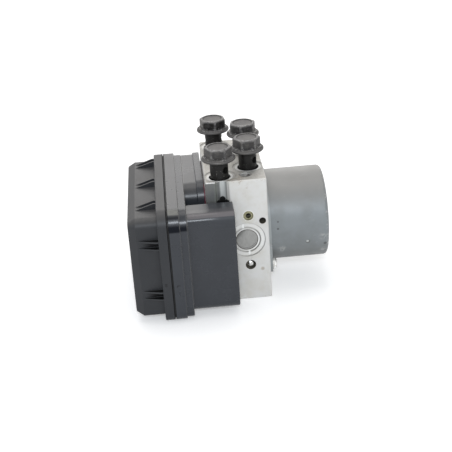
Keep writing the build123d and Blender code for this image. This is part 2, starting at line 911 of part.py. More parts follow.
def drive_end_bearing():
    outer = drive_bearing_radius
    inner_race = drive_bearing_bore + bearing_race_width
    outer_race = outer - bearing_race_width
    start_shield = drive_bearing_start + bearing_shield_depth
    end_shield = drive_bearing_end - bearing_shield_depth
    return turned_x([
        (drive_bearing_start, drive_bearing_bore),
        (drive_bearing_start, inner_race),
        (start_shield, inner_race),
        (start_shield, outer_race),
        (drive_bearing_start, outer_race),
        (drive_bearing_start, outer),
        (drive_bearing_end, outer),
        (drive_bearing_end, outer_race),
        (end_shield, outer_race),
        (end_shield, inner_race),
        (drive_bearing_end, inner_race),
        (drive_bearing_end, drive_bearing_bore),
    ], 0, motor_axis_z)


def tail_bearing():
    end = can_end - can_wall
    bush = rod_x(tail_bearing_radius, end - tail_bearing_width, end, 0, motor_axis_z)
    return bush - rod_x(shaft_radius + running_gap, end - tail_bearing_width, end, 0, motor_axis_z)


def motor_magnets():
    outer = can_inner - seat_gap
    start = (core_start + core_end - magnet_length) / 2
    end = start + magnet_length
    ring = rod_x(outer, start, end, 0, motor_axis_z)
    ring -= rod_x(outer - magnet_thickness, start, end, 0, motor_axis_z)
    reach = 2 * outer
    half_gap = 90.0 - magnet_arc
    tools = []
    for side in (0, 180):
        wedge = Polyline(
            (0, 0),
            (reach * math.cos(math.radians(half_gap)), reach * math.sin(math.radians(half_gap))),
            (reach * math.cos(math.radians(half_gap)), -reach * math.sin(math.radians(half_gap))),
            close=True,
        )
        tool = extrude(Plane.YZ.offset(start) * make_face(wedge), magnet_length)
        tools.append(Pos(0, 0, motor_axis_z) * Rot(side, 0, 0) * tool)
    return group([ring - tools])


def slot_places():
    return [360.0 * index / core_slots for index in range(core_slots)]


def armature_core():
    core = rod_x(core_radius, core_start, core_end, 0, 0)
    tools = [rod_x(shaft_radius, core_start, core_end)]
    slot_top = core_radius - slot_roof
    past_core = core_radius + cut_overrun
    half_slot = slot_width / 2
    half_mouth = slot_mouth / 2
    for turn in slot_places():
        slot = box_between(core_start, core_end, slot_floor_radius, slot_top, -half_slot, half_slot)
        slot += box_between(core_start, core_end, slot_top, past_core, -half_mouth, half_mouth)
        tools.append(Rot(turn, 0, 0) * slot)
    return Pos(0, 0, motor_axis_z) * (core - tools)


def armature_winding():
    inner = slot_floor_radius + winding_gap
    outer = core_radius - slot_roof - winding_gap
    half = slot_width / 2 - winding_gap
    winding_start = core_start - end_winding_length
    winding_end = core_end + end_winding_length
    winding = Part()
    for start, end in ((winding_start, core_start), (core_end, winding_end)):
        winding += rod_x(outer, start, end) - rod_x(inner, start, end)
    for turn in slot_places():
        low, high = inner + winding_step, outer - winding_step
        bundle = box_between(winding_start, winding_end, low, high, -half, half)
        winding += Rot(turn, 0, 0) * bundle
    return Pos(0, 0, motor_axis_z) * winding


def commutator():
    end = commutator_start + commutator_length
    barrel = rod_x(commutator_radius, commutator_start, end) - rod_x(shaft_radius, commutator_start, end)
    slits = []
    floor = commutator_radius - commutator_slit_depth
    half = commutator_slit_width / 2
    for turn in slot_places():
        slit = box_between(commutator_start, end, floor, commutator_radius + cut_overrun, -half, half)
        slits.append(Rot(turn + 180.0 / core_slots, 0, 0) * slit)
    return Pos(0, 0, motor_axis_z) * (barrel - slits)


def brush_start():
    return commutator_radius + commutator_gap


def brush_holder():
    """A plate inside the motor's mouth, with a box for each brush."""
    plate = rod_x(can_inner - seat_gap, holder_start, holder_end, 0, 0)
    box_start = brush_start() + brush_box_start_gap
    half = brush_size / 2 + brush_box_wall
    hole = brush_size / 2 + running_gap
    for side in (-1, 1):
        low, high = brush_x - half, brush_x + half
        box = box_between(holder_end, high, side * box_start, side * brush_box_end, -half, half)
        plate += box
        slot_end = side * (brush_box_end - brush_box_wall)
        plate -= box_between(brush_x - hole, brush_x + hole, side * box_start, slot_end, -hole, hole)
    plate -= rod_x(drive_bearing_bore + shaft_relief, holder_start, holder_end)
    return Pos(0, 0, motor_axis_z) * plate


def motor_brushes():
    half = brush_size / 2
    brushes = []
    for side in (-1, 1):
        inner = side * brush_start()
        outer = side * (brush_start() + brush_length)
        brush = box_between(brush_x - half, brush_x + half, inner, outer, -half, half)
        brushes.append(Pos(0, 0, motor_axis_z) * brush)
    return group(brushes)


def brush_springs():
    inner = brush_start() + brush_length + spring_gap
    length = brush_box_end - brush_box_wall - inner - spring_gap
    spring = coil_spring(brush_spring_radius, brush_spring_wire, length, brush_spring_turns)
    springs = []
    for turn in (-90, 90):
        springs.append(Pos(brush_x, 0, motor_axis_z) * Rot(turn, 0, 0) * Pos(0, 0, inner) * spring)
    return group(springs)


def motor_contact():
    """The insulated stud that carries current through the block from the board to the motor."""
    stud = rod_x(contact_radius, board_face, left_face, contact_y, contact_z)
    sleeve = rod_x(contact_sleeve_radius, left_face, right_face, contact_y, contact_z)
    return stud + sleeve + rod_x(contact_radius, right_face, holder_start, contact_y, contact_z)


# Pump elements

def pump_piston(side):
    groove = piston_inner + piston_groove_place
    floor = piston_radius - piston_groove_depth
    points = [
        (0, piston_inner),
        (piston_radius - piston_edge, piston_inner),
        (piston_radius, piston_inner + piston_edge),
        (piston_radius, groove),
        (floor, groove),
        (floor, groove + piston_groove_width),
        (piston_radius, groove + piston_groove_width),
        (piston_radius, piston_outer),
        (0, piston_outer),
    ]
    return turned_y([(radius, side * y) for radius, y in points], pump_x, motor_axis_z)


def pump_spring(side):
    length = pump_plug_inner - piston_outer - 2 * spring_gap
    radius = piston_radius - pump_spring_wire - pump_spring_bore_gap
    spring = coil_spring(radius, pump_spring_wire, length, pump_spring_turns)
    spring = Pos(0, 0, piston_outer + spring_gap) * spring
    return Pos(pump_x, 0, motor_axis_z) * Rot(-90 * side, 0, 0) * spring


def accumulator_piston(side):
    top = accumulator_depth - accumulator_head_gap
    bottom = top - accumulator_piston_length
    inner = accumulator_radius - accumulator_piston_wall
    return turned_z([
        (0, bottom + accumulator_skirt),
        (inner, bottom + accumulator_skirt),
        (inner, bottom),
        (accumulator_radius, bottom),
        (accumulator_radius, top - accumulator_ring_bottom),
        (accumulator_radius - accumulator_ring_depth, top - accumulator_ring_bottom),
        (accumulator_radius - accumulator_ring_depth, top - accumulator_ring_top),
        (accumulator_radius, top - accumulator_ring_top),
        (accumulator_radius, top - piston_edge),
        (accumulator_radius - piston_edge, top),
        (0, top),
    ], accumulator_x, side * accumulator_y)


def accumulator_spring(side):
    piston_floor = accumulator_depth - accumulator_head_gap - accumulator_piston_length + accumulator_skirt
    length = piston_floor - accumulator_cap_top - 2 * spring_gap
    bore_radius = accumulator_radius - accumulator_piston_wall
    radius = bore_radius - accumulator_spring_wire - accumulator_spring_bore_gap
    spring = coil_spring(radius, accumulator_spring_wire, length, accumulator_spring_turns)
    return Pos(accumulator_x, side * accumulator_y, accumulator_cap_top + spring_gap) * spring


def accumulator_caps():
    caps = []
    for side in (-1, 1):
        cap = turned_z([
            (0, accumulator_cap_recess + accumulator_cap_dish),
            (accumulator_cap_radius - accumulator_cap_rim, accumulator_cap_recess + accumulator_cap_dish),
            (accumulator_cap_radius - accumulator_cap_rim, accumulator_cap_recess),
            (accumulator_cap_radius - accumulator_cap_edge, accumulator_cap_recess),
            (accumulator_cap_radius, accumulator_cap_recess + accumulator_cap_edge),
            (accumulator_cap_radius, accumulator_cap_top),
            (0, accumulator_cap_top),
        ], accumulator_x, side * accumulator_y)
        caps.append(cap)
    return group(caps)


# Controller

def pin_boxes(x_start, x_end, grow):
    """The connector's pins and blades, each grown by a little for its hole."""
    half = pin_size / 2 + grow
    pins = []
    for y in pin_rows:
        for index in range(pin_count):
            z = pin_first_z + index * pin_pitch
            pins.append(box_between(x_start, x_end, y - half, y + half, z - half, z + half))
    for z in blade_places:
        half_width = blade_width / 2 + grow
        half_height = blade_thickness / 2 + grow
        pins.append(box_between(
            x_start, x_end, blade_y - half_width, blade_y + half_width, z - half_height, z + half_height
        ))
    return pins


def connector_pins():
    return group(pin_boxes(board_face, floor_x + housing_floor + pin_reach, 0))


def shroud_slab(x_start, x_end, inset):
    """A slab with the outline of the connector's shroud."""
    front = controller_front + shroud_inset + inset
    bottom = controller_bottom + shroud_inset + inset
    top = controller_top - shroud_inset - inset
    corners = [(front, bottom), (shroud_back - inset, bottom), (shroud_back - inset, top), (front, top)]
    radii = [
        bottom_corner_radius - inset,
        max(shroud_back_radius - inset, moulded_edge),
        max(shroud_back_radius - inset, moulded_edge),
        shroud_top_radius - inset,
    ]
    face = make_face(FilletPolyline(*corners, radius=radii, close=True))
    return extrude(Plane.YZ.offset(x_start) * face, x_end - x_start)


def board_posts():
    reach = board_post_inset
    posts = []
    for y in (controller_front + reach, controller_back - reach):
        for z in (controller_bottom + reach, controller_top - reach):
            posts.append(rod_x(board_post_radius, board_face, floor_x, y, z))
    return posts


def controller_housing():
    """Flange, band, solenoid chamber and connector shroud, moulded in one piece."""
    body = rounded_ends(controller_slab(seam_x, housing_flange_end, 0), 0, moulded_edge)
    band = controller_slab(housing_flange_end, band_end, band_inset, band_top_radius)
    body += rounded_ends(band, 0, moulded_edge)
    body += chamber_slab(band_end, chamber_end, 0)
    lip = chamber_slab(chamber_end - chamber_lip_width, chamber_end, -chamber_lip_height)
    body += rounded_ends(lip, moulded_edge, 0)
    body += rounded_ends(shroud_slab(band_end, shroud_end, 0), 0, moulded_edge)
    body -= controller_slab(seam_x, floor_x, housing_wall)
    body -= chamber_slab(seam_x, chamber_end - chamber_end_wall, chamber_wall)
    body -= shroud_slab(band_end + shroud_floor - housing_floor, shroud_end, shroud_wall)
    corner_posts = [post for post in board_posts() if post.center().Y < chamber_front]
    body += corner_posts
    boss_start = chamber_end - screw_boss_length
    for y, z in screw_places:
        body += rod_x(screw_boss_radius, boss_start, chamber_end - chamber_end_wall, y, z)
    holes = [rod_x(screw_radius + screw_hole_gap, boss_start, chamber_end, y, z) for y, z in screw_places]
    for y, z, _ in valve_places.values():
        holes.append(rod_x(coil_radius + coil_gap, boss_start, chamber_end, y, z))
    holes.append(rod_x(contact_radius + contact_hole_gap, boss_start, chamber_end, contact_y, contact_z))
    holes += pin_boxes(floor_x, band_end + shroud_floor, pin_hole_gap)
    return body - holes


def controller_cover():
    """A shell with a flange, a chamfered outer face and paired gussets."""
    chamfer_end = cover_start + cover_chamfer_depth
    outer_face = controller_outline(cover_start, cover_inset + cover_chamfer_inset)
    body = loft([outer_face, controller_outline(chamfer_end, cover_inset)])
    body = rounded_ends(body, cover_face_edge, 0)
    body += controller_slab(chamfer_end, cover_flange_start, cover_inset)
    body += rounded_ends(controller_slab(cover_flange_start, seam_x - seam_gap, 0), moulded_edge, 0)
    body += gussets()
    hollow_start = cover_start + cover_wall
    hollow_inset = cover_inset + cover_wall
    hollow_face = controller_outline(hollow_start, hollow_inset + cover_chamfer_inset / 2)
    hollow = loft([hollow_face, controller_outline(chamfer_end, hollow_inset)])
    hollow += controller_slab(chamfer_end, seam_x - seam_gap, hollow_inset)
    return body - hollow


def gusset(thickness):
    """A triangular web standing on a face: along X, with its height along Z."""
    points = [
        (cover_flange_start - gusset_reach, -gusset_root),
        (cover_flange_start, -gusset_root),
        (cover_flange_start, gusset_height),
        (cover_flange_start - gusset_flat, gusset_height),
        (cover_flange_start - gusset_reach, 0),
    ]
    web = make_face(Polyline(*[(x, 0, z) for x, z in points], close=True))
    return extrude(web, thickness / 2, both=True)


def gussets():
    webs = []
    top = controller_top - cover_inset
    bottom = controller_bottom + cover_inset
    front = controller_front + cover_inset
    back = controller_back - cover_inset
    web = gusset(gusset_thickness)
    for first in gusset_top_places:
        for y in (first, first + gusset_pitch):
            webs.append(Pos(0, y, top) * web)
            webs.append(Pos(0, y, bottom) * Rot(180, 0, 0) * web)
    for first in gusset_side_places:
        for z in (first, first + gusset_pitch):
            webs.append(Pos(0, front, z) * Rot(90, 0, 0) * web)
            webs.append(Pos(0, back, z) * Rot(-90, 0, 0) * web)
    return webs


def cover_seal():
    """The bead of sealant that fills the seam, set back from the edge."""
    ring = controller_slab(seam_x - seam_gap, seam_x, cover_lip_inset)
    return ring - controller_slab(seam_x - seam_gap, seam_x, housing_wall)


def block_seal():
    """The soft seal between the solenoid chamber and the block."""
    def slab(inset):
        face = outline(
            chamber_end,
            chamber_front + inset,
            seal_back - inset,
            chamber_bottom + inset,
            chamber_top - inset,
            chamber_top_radius - inset,
            seal_corner_radius - inset,
        )
        return extrude(face, seal_thickness)
    return slab(0) - slab(seal_width)


def circuit_board():
    start = board_face - board_thickness
    return controller_slab(start, board_face, housing_wall + board_clearance)


def capacitor():
    end = board_face - board_thickness
    can = rod_x(capacitor_radius, end - capacitor_length, end, capacitor_y, capacitor_z)
    return chamfer(can.edges().filter_by(GeomType.CIRCLE).group_by(Axis.X)[0], capacitor_edge)


def control_chips():
    end = board_face - board_thickness
    chip_list = []
    for y, z, width, height in chips:
        chip_list.append(box_between(
            end - chip_height, end, y - width / 2, y + width / 2, z - height / 2, z + height / 2
        ))
    return group(chip_list)


def controller_screws():
    screws = []
    head_end = chamber_end - screw_boss_length
    for y, z in screw_places:
        head = rod_x(screw_head_radius, head_end - screw_head_height, head_end, y, z)
        shank = rod_x(screw_radius, head_end, left_face + screw_grip_depth - screw_tip_gap, y, z)
        socket = Plane.YZ.offset(head_end - screw_head_height) * Pos(y, z)
        socket = socket * RegularPolygon(screw_drive_radius, 6)
        screws.append(head + shank - extrude(socket, screw_drive_depth))
    return group(screws)


def all_parts():
    parts = {
        "valve_block": valve_block(),
        "pump_plug_front": pump_plug(-1),
        "pump_plug_rear": pump_plug(1),
        "orifice_sleeves": orifice_sleeves(),
        "sealing_balls": sealing_balls(),
        "bore_plugs": bore_plugs(),
        "accumulator_caps": accumulator_caps(),
        "block_seal": block_seal(),
        "controller_housing": controller_housing(),
        "controller_cover": controller_cover(),
        "cover_seal": cover_seal(),
        "circuit_board": circuit_board(),
        "capacitor": capacitor(),
        "control_chips": control_chips(),
        "connector_pins": connector_pins(),
        "controller_screws": controller_screws(),
        "motor_contact": motor_contact(),
        "motor_can": motor_can(),
        "motor_screws": motor_screws(),
        "motor_magnets": motor_magnets(),
        "brush_holder": brush_holder(),
        "motor_brushes": motor_brushes(),
        "brush_springs": brush_springs(),
        "drive_end_bearing": drive_end_bearing(),
        "tail_bearing": tail_bearing(),
        "rotor_shaft": rotor_shaft(),
        "eccentric_bearing": eccentric_bearing(),
        "armature_core": armature_core(),
        "armature_winding": armature_winding(),
        "commutator": commutator(),
    }
    for name in bolt_places:
        parts["banjo_bolt_" + name] = banjo_bolt(name)
    for name, (y, z, direction) in valve_places.items():
        parts["valve_body_" + name] = valve_body(y, z)
        parts["valve_plunger_" + name] = valve_plunger(y, z, direction)
        parts["valve_spring_" + name] = valve_spring(y, z, direction)
        parts["valve_coil_" + name] = valve_coil(y, z)
    for name, side in (("front", -1), ("rear", 1)):
        parts["pump_piston_" + name] = pump_piston(side)
        parts["pump_spring_" + name] = pump_spring(side)
        parts["accumulator_piston_" + name] = accumulator_piston(side)
        parts["accumulator_spring_" + name] = accumulator_spring(side)
    return parts


os.makedirs("parts", exist_ok=True)
for node, shape in all_parts().items():
    export_step(shape, "parts/" + node + ".step")
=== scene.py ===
# Anti-lock brake module on a pale studio floor.
# The scene is in metres and the dictionaries in millimetres, apart from the lamps and the floor.
# X runs from the controller to the motor, Y to the rear and Z up.
import json
import math

import bmesh
import bpy
from mathutils import Matrix, Vector


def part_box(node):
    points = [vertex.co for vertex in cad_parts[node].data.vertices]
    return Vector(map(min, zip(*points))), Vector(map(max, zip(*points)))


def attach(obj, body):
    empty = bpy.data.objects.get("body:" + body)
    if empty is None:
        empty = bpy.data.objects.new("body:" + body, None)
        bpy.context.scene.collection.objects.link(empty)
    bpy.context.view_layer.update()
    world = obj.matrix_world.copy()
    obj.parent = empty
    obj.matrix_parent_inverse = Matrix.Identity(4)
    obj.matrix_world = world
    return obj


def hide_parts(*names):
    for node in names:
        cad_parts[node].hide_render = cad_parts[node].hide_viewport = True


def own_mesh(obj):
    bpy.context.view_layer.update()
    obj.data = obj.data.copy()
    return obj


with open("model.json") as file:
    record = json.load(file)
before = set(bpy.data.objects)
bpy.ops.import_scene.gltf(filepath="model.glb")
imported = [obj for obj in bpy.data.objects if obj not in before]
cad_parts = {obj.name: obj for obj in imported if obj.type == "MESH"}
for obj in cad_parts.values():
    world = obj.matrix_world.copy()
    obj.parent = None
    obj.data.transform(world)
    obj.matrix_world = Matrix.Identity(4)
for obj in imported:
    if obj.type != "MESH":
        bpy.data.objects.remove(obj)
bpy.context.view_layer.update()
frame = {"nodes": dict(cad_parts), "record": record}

mm = 0.001
nodes = frame["nodes"]


# Shader values: a sum on them adds its own Math nodes

class Value:
    def __init__(self, finish, socket):
        self.finish = finish
        self.socket = socket

    def part(self, name):  # another output of the same node
        return Value(self.finish, self.socket.node.outputs[name])

    def __add__(self, other):
        return self.finish.sum("ADD", self, other)

    def __sub__(self, other):
        return self.finish.sum("SUBTRACT", self, other)

    def __rsub__(self, other):
        return self.finish.sum("SUBTRACT", other, self)

    def __mul__(self, other):
        return self.finish.sum("MULTIPLY", self, other)

    def __truediv__(self, other):
        return self.finish.sum("DIVIDE", self, other)

    def __rtruediv__(self, other):
        return self.finish.sum("DIVIDE", other, self)

    def __neg__(self):
        return self.finish.sum("MULTIPLY", self, -1.0)

    __radd__ = __add__
    __rmul__ = __mul__


class Shading:
    # The nodes of one material or of the world
    def __init__(self, owner):
        owner.use_nodes = True
        self.tree = owner.node_tree
        self.tree.nodes.clear()

    def connect(self, socket, value):
        if isinstance(value, Value):
            self.tree.links.new(value.socket, socket)
        elif socket.type == "RGBA" and len(value) == 3:
            socket.default_value = (*value, 1.0)
        else:
            socket.default_value = value

    def node(self, kind, settings=None, inputs=None, output=0):
        node = self.tree.nodes.new(kind)
        for name, value in (settings or {}).items():
            setattr(node, name, value)
        for name, value in (inputs or {}).items():
            self.connect(node.inputs[name], value)
        return None if output is None else Value(self, node.outputs[output])

    def sum(self, operation, first, second=0.0):
        return self.node("ShaderNodeMath", {"operation": operation}, {0: first, 1: second})

    def most(self, first, second):
        return self.sum("MAXIMUM", first, second)

    def mix(self, factor, first, second):
        inputs = {0: factor, 6: first, 7: second}
        return self.node("ShaderNodeMix", {"data_type": "RGBA"}, inputs, 2)

    def seen(self):
        # 1 for what the camera, a reflection or glass sees
        path = self.node("ShaderNodeLightPath", output="Is Camera Ray")
        mirrored = self.most(path.part("Is Glossy Ray"), path.part("Is Transmission Ray"))
        return self.most(path, mirrored)


class Finish(Shading):
    # One material on object coordinates
    def __init__(self, name, look):
        self.material = bpy.data.materials.new(name)
        super().__init__(self.material)
        self.shader = self.node("ShaderNodeBsdfPrincipled")
        self.node("ShaderNodeOutputMaterial", inputs={"Surface": self.shader}, output=None)
        self.set("Roughness", look["roughness"])
        self.set("Metallic", look.get("metallic", 0.0))
        self.place = self.node("ShaderNodeTexCoord", output="Object")

    def set(self, name, value):
        self.connect(self.shader.socket.node.inputs[name], value)

    def ground(self, factor, first, second):
        self.colour = self.mix(factor, first, second)
        self.set("Base Color", self.colour)

    def layer(self, factor, colour):
        # A colour over what is there
        self.ground(factor, self.colour, colour)

    def noise(self, size, detail=3.0, roughness=0.55, stretch=(1, 1, 1), shift=0.0):
        # size is the grain's width in millimetres
        inputs = {0: self.place, 1: (shift, shift, shift), 3: stretch}
        inputs = {
            "Vector": self.node("ShaderNodeMapping", inputs=inputs),
            "Scale": 1000.0 / size, "Detail": detail, "Roughness": roughness,
        }
        return self.node("ShaderNodeTexNoise", inputs=inputs, output="Fac")

    def cells(self, size):
        inputs = {"Vector": self.place, "Scale": 1000.0 / size}
        return self.node("ShaderNodeTexVoronoi", {"feature": "F1"}, inputs, "Distance")

    def band(self, value, low=0.35, high=0.7):
        # 0 under low and 1 over high, with a soft step between; the defaults suit a noise
        settings = {"clamp": True, "interpolation_type": "SMOOTHSTEP"}
        inputs = {"Value": value, "From Min": low, "From Max": high}
        return self.node("ShaderNodeMapRange", settings, inputs)

    def between(self, value, low, high, soft):
        over = self.band(value, low - soft, low + soft)
        return over * (1 - self.band(value, high - soft, high + soft))

    def axes(self):
        # The place on the object, in millimetres
        split = self.node("ShaderNodeSeparateXYZ", inputs={0: self.place})
        return split * 1000.0, split.part("Y") * 1000.0, split.part("Z") * 1000.0

    def facing(self):
        # How far the surface faces backwards and upwards, from -1 to 1
        normal = self.node("ShaderNodeTexCoord", output="Normal")
        split = self.node("ShaderNodeSeparateXYZ", inputs={0: normal})
        return split.part("Y"), split.part("Z")

    def away(self, first, second, firstCentre, secondCentre):
        # How far a place is from an axis
        across = first - firstCentre
        along = second - secondCentre
        return self.sum("SQRT", across * across + along * along)

    def spot(self, first, second, centre, radius, soft):
        reach = self.away(first, second, *centre)
        return 1 - self.band(reach, radius - soft, radius + soft)

    def bump(self, height, distance, strength=0.5):
        # distance in millimetres
        inputs = {"Height": height, "Distance": distance * mm, "Strength": strength}
        self.set("Normal", self.node("ShaderNodeBump", inputs=inputs))


def coat(piece, finish):
    piece.data.materials.clear()
    piece.data.materials.append(finish.material)


def paint(finish, *names):
    for name in names:
        coat(nodes[name], finish)


def camelCase(name):
    first, *words = name.split("_")
    return first + "".join(word.title() for word in words)


# Finishes. Places, widths and spans are millimetres on the object.

places = {
    "axisHeight": 36.8,  # of the motor and the pumps
    "pumpPlug": (4.15, 36.8),
    "sleeve": (5.55, 51.2),
    "ball": (5.45, 21.4),
    "blindHole": (13.15, 47.6),
    "topPlugs": (5.7, 24.15),
    "ports": {
        "front_left": (-8.15, -23.296),
        "front_right": (8.25, -12.16),
        "rear_left": (-8.15, 23.296),
        "rear_right": (8.25, 12.16),
    },
}

blockLook = {
    "bright": (0.645, 0.645, 0.63),
    "beige": (0.58, 0.56, 0.51),
    "top": (0.42, 0.405, 0.37),
    "stain": (0.30, 0.235, 0.16),
    "worn": (0.92, 0.92, 0.90),
    "plugJoint": (0.10, 0.095, 0.085),
    "ringGroove": (0.13, 0.13, 0.125),
    "spotFaceLine": (0.15, 0.145, 0.14),
    "portLine": (0.20, 0.19, 0.17),
    "greasy": (0.17, 0.16, 0.13),
    "zincStain": (0.50, 0.46, 0.32),
    "relief": (0.120, 0.125, 0.128),
    "reliefPale": (0.165, 0.17, 0.16),
    "reliefFlank": (0.20, 0.215, 0.19),
    "milled": (0.52, 0.54, 0.53),
    "pocket": (0.006, 0.006, 0.006),
    "metallic": 0.35,
    "roughness": 0.50,
    "sideFace": 31.9,
    "topStain": (-3.0, -28.0),
    "lowRightX": (4.0, 15.0),
    "lowRightZ": (2.0, 18.0),
    "dirtX": (-3.0, 6.0),
    "dirtZ": (62.0, 71.0),
    "mark": (11.9, 18.4),
    "halo": (5.55, 50.0),
    "haloRadius": 3.4,
    "sleeveRim": (2.85, 3.25),
    "topPlugRim": (2.9, 3.35),
    "plugLip": (6.2, 6.95),
    "plugGroove": (7.0, 7.7),
    "spotFace": (8.0, 9.8),
    "spotFaceEdge": (9.8, 10.25),
    "stakes": [(2.43, 44.87), (5.16, 28.61)],
    "stakeHalf": (0.5, 1.3),
    "topEdge": (71.4, 71.9),
    "topEdgeLeft": (-5.0, -4.0),
    "frontEdge": (31.0, 31.7),
    "dotsX": (-4.0, -3.0),
    "dotsZ": (70.2, 71.5),
    "portWall": (5.75, 5.9),
    "portLip": (5.95, 7.2),
    "portEdge": (8.45, 8.75),
    "portDepth": (50.0, 58.0),
    "reliefEdge": (4.9, 5.2),
    "reliefSide": (25.0, 26.0),
    "reliefTop": (71.5, 71.9),
    "groove": -7.65,
    "grooveLeft": (-1.6, -0.5),
    "grooveRight": (0.9, 3.0),
    "grooveBottom": (59.0, 60.0),
    "flankBottom": (58.0, 59.0),
    "flankReach": (2.6, 4.3),
    "peak": (-7.65, 61.5),
    "peakRadius": 1.6,
    "pocketX": (-11.75, -3.55),
    "pocketZ": (37.8, 61.0),
    "pocketBack": (28.0, 29.0),
    "pocketFront": (31.2, 31.5),
    "holes": {"blindHole": 1.95, "sleeve": 2.95, "ball": 3.0},
}


def blockFinish():
    look = blockLook
    f = Finish("blockAluminium", look)
    x, y, z = f.axes()
    back, up = f.facing()
    front = f.band(-back, 0.5, 0.9)
    top = f.band(up, 0.5, 0.9)
    grain = f.noise(0.45, detail=4.0, roughness=0.7)
    cloud = f.noise(9.0, detail=4.0, roughness=0.6)
    patch = f.noise(3.2, detail=5.0, roughness=0.7, shift=3.1)
    f.ground(f.band(cloud, 0.35, 0.75) * 0.7, look["bright"], look["beige"])
    f.layer(f.band(grain, 0.55, 0.8) * 0.25, look["beige"])
    f.layer(top * (0.75 + f.band(patch, 0.35, 0.65) * 0.25), look["top"])
    # Brown stains on the top between the front-left bolt and the front edge
    nearEdge = f.spot(x, y, look["topStain"], 8.0, 6.0)
    f.layer(top * nearEdge * f.band(patch, 0.44, 0.62) * 0.55, look["stain"])
    f.layer(top * f.band(grain, 0.50, 0.62) * 0.30, look["worn"])
    f.layer(f.band(patch, 0.64, 0.76) * 0.22, look["stain"])
    # Fine brown dirt under the top edge, and the front darker towards the bottom right
    dirt = f.band(z, *look["dirtZ"]) * f.between(x, *look["dirtX"], 1.5)
    dirt = front * dirt * f.band(patch, 0.55, 0.66)
    f.layer(dirt * 0.45, look["stain"])
    lowRight = front * f.band(x, *look["lowRightX"]) * (1 - f.band(z, *look["lowRightZ"]))
    f.layer(lowRight * 0.08, look["stain"])
    # Yellow halo round the zinc sleeve, and its bright rim
    halo = front * f.spot(x, z, look["halo"], look["haloRadius"], 1.3)
    f.layer(halo * 0.25, look["zincStain"])
    sleeveReach = f.away(x, z, *places["sleeve"])
    sleeveRim = front * f.between(sleeveReach, *look["sleeveRim"], 0.1)
    f.layer(sleeveRim * 0.5, look["worn"])
    # Joint round the plugs pressed into the top
    plugX, plugY = places["topPlugs"]
    for side in (-plugY, plugY):
        rim = f.between(f.away(x, y, plugX, side), *look["topPlugRim"], 0.08)
        f.layer(top * rim * 0.8, look["plugJoint"])
    # The staked ring round the pump plug: a bright lip, and painted shadow in its groove and along
    # the spot face's edge, clearest at the lower right
    plugX, plugZ = places["pumpPlug"]
    ring = f.away(x, z, plugX, plugZ)
    clear = f.band((x - plugX) * 1.2 - (z - plugZ) * 0.5, 0.5, 6.5)
    clear = front * (0.25 + clear * 0.75)
    lip = f.between(ring, *look["plugLip"], 0.12)
    f.layer(clear * lip * 0.55, look["worn"])
    ringGroove = f.between(ring, *look["plugGroove"], 0.1)
    f.layer(clear * ringGroove * 0.80, look["ringGroove"])
    spotFace = f.between(ring, *look["spotFace"], 0.3)
    f.layer(front * spotFace * 0.35, look["worn"])
    spotFaceEdge = f.between(ring, *look["spotFaceEdge"], 0.08)
    f.layer(clear * spotFaceEdge * 0.65, look["spotFaceLine"])
    # Its two punched notches
    halfWidth, halfLength = look["stakeHalf"]
    for stakeX, stakeZ in look["stakes"]:
        notch = f.between(x, stakeX - halfWidth, stakeX + halfWidth, 0.2)
        notch = notch * f.between(z, stakeZ - halfLength, stakeZ + halfLength, 0.3)
        f.layer(front * notch * 0.9, look["worn"])
    # Edges rubbed bright
    topEdge = f.band(z, *look["topEdge"]) * f.band(-y, *look["frontEdge"])
    topEdge = topEdge * f.band(patch, 0.25, 0.5)
    topEdge = topEdge * (1 - f.band(x, *look["topEdgeLeft"]) * 0.8)
    f.layer(topEdge, look["worn"])
    # Specks of dirt along the top edge, and a mark low on the right
    dots = f.band(grain * 0.5 + patch * 0.5, 0.545, 0.58)
    dots = front * f.band(z, *look["dotsZ"]) * f.band(x, *look["dotsX"]) * dots
    f.layer(dots * 0.7, look["stain"])
    mark = front * f.spot(x, z, look["mark"], 1.0, 0.5) * f.band(patch, 0.42, 0.52)
    f.layer(mark * 0.6, look["stain"])
    # Hose ports: black inside and in the chamfer, with a bright lip round them
    for port in places["ports"].values():
        reach = f.away(x, y, *port)
        f.layer(top * f.between(reach, *look["portLip"], 0.15) * 0.55, look["worn"])
        edge = top * f.between(reach, *look["portEdge"], 0.06)
        f.layer(edge * 0.5, look["portLine"])
        inside = (1 - f.band(reach, *look["portWall"])) * f.band(z, *look["portDepth"])
        f.layer(inside, look["pocket"])
    # Relief at the front left: a painted highlight down its milled groove and the groove's right
    # flank, and painted shade, near black, in the pocket under it
    relief = f.band(-x, *look["reliefEdge"]) * f.band(-y, *look["reliefSide"])
    relief = relief * (1 - f.band(z, *look["reliefTop"])) * (1 - top)
    tone = f.mix(f.band(cloud, 0.3, 0.7), look["relief"], look["reliefPale"])
    offset = x - look["groove"]
    highlightStripe = f.band(offset, *look["grooveLeft"]) * (1 - f.band(offset, *look["grooveRight"]))
    highlightStripe = highlightStripe * f.band(z, *look["grooveBottom"])
    flank = f.between(f.sum("ABSOLUTE", offset), *look["flankReach"], 0.6)
    flank = flank * f.band(z, *look["flankBottom"])
    tone = f.mix(highlightStripe * 0.95, tone, look["milled"])
    tone = f.mix(flank * 0.5, tone, look["reliefFlank"])
    f.layer(relief, tone)
    # Painted shade in the pocket, with a rounded peak at its top
    peak = f.spot(x, z, look["peak"], look["peakRadius"], 0.15)
    pocket = f.between(x, *look["pocketX"], 0.1) * f.between(z, *look["pocketZ"], 0.6)
    behind = f.band(-y, *look["pocketBack"])
    pocket = pocket * (1 - f.band(-y, *look["pocketFront"])) * behind
    pocket = f.most(pocket, peak) * behind * (1 - top)
    f.layer(pocket, look["pocket"])
    # Drilled holes are painted dark inside, as painted shade
    behindFace = f.band(look["sideFace"] - f.sum("ABSOLUTE", y), 0.0, 0.1)
    for name, radius in look["holes"].items():
        hole = f.spot(x, z, places[name], radius, 0.05) * behindFace
        f.layer(hole, look["greasy"])
    f.set("Roughness", look["roughness"] + f.band(cloud) * 0.10 - relief * 0.14)
    f.bump(grain * 0.7 + patch * 0.3, 0.10)
    paint(f, "valve_block")


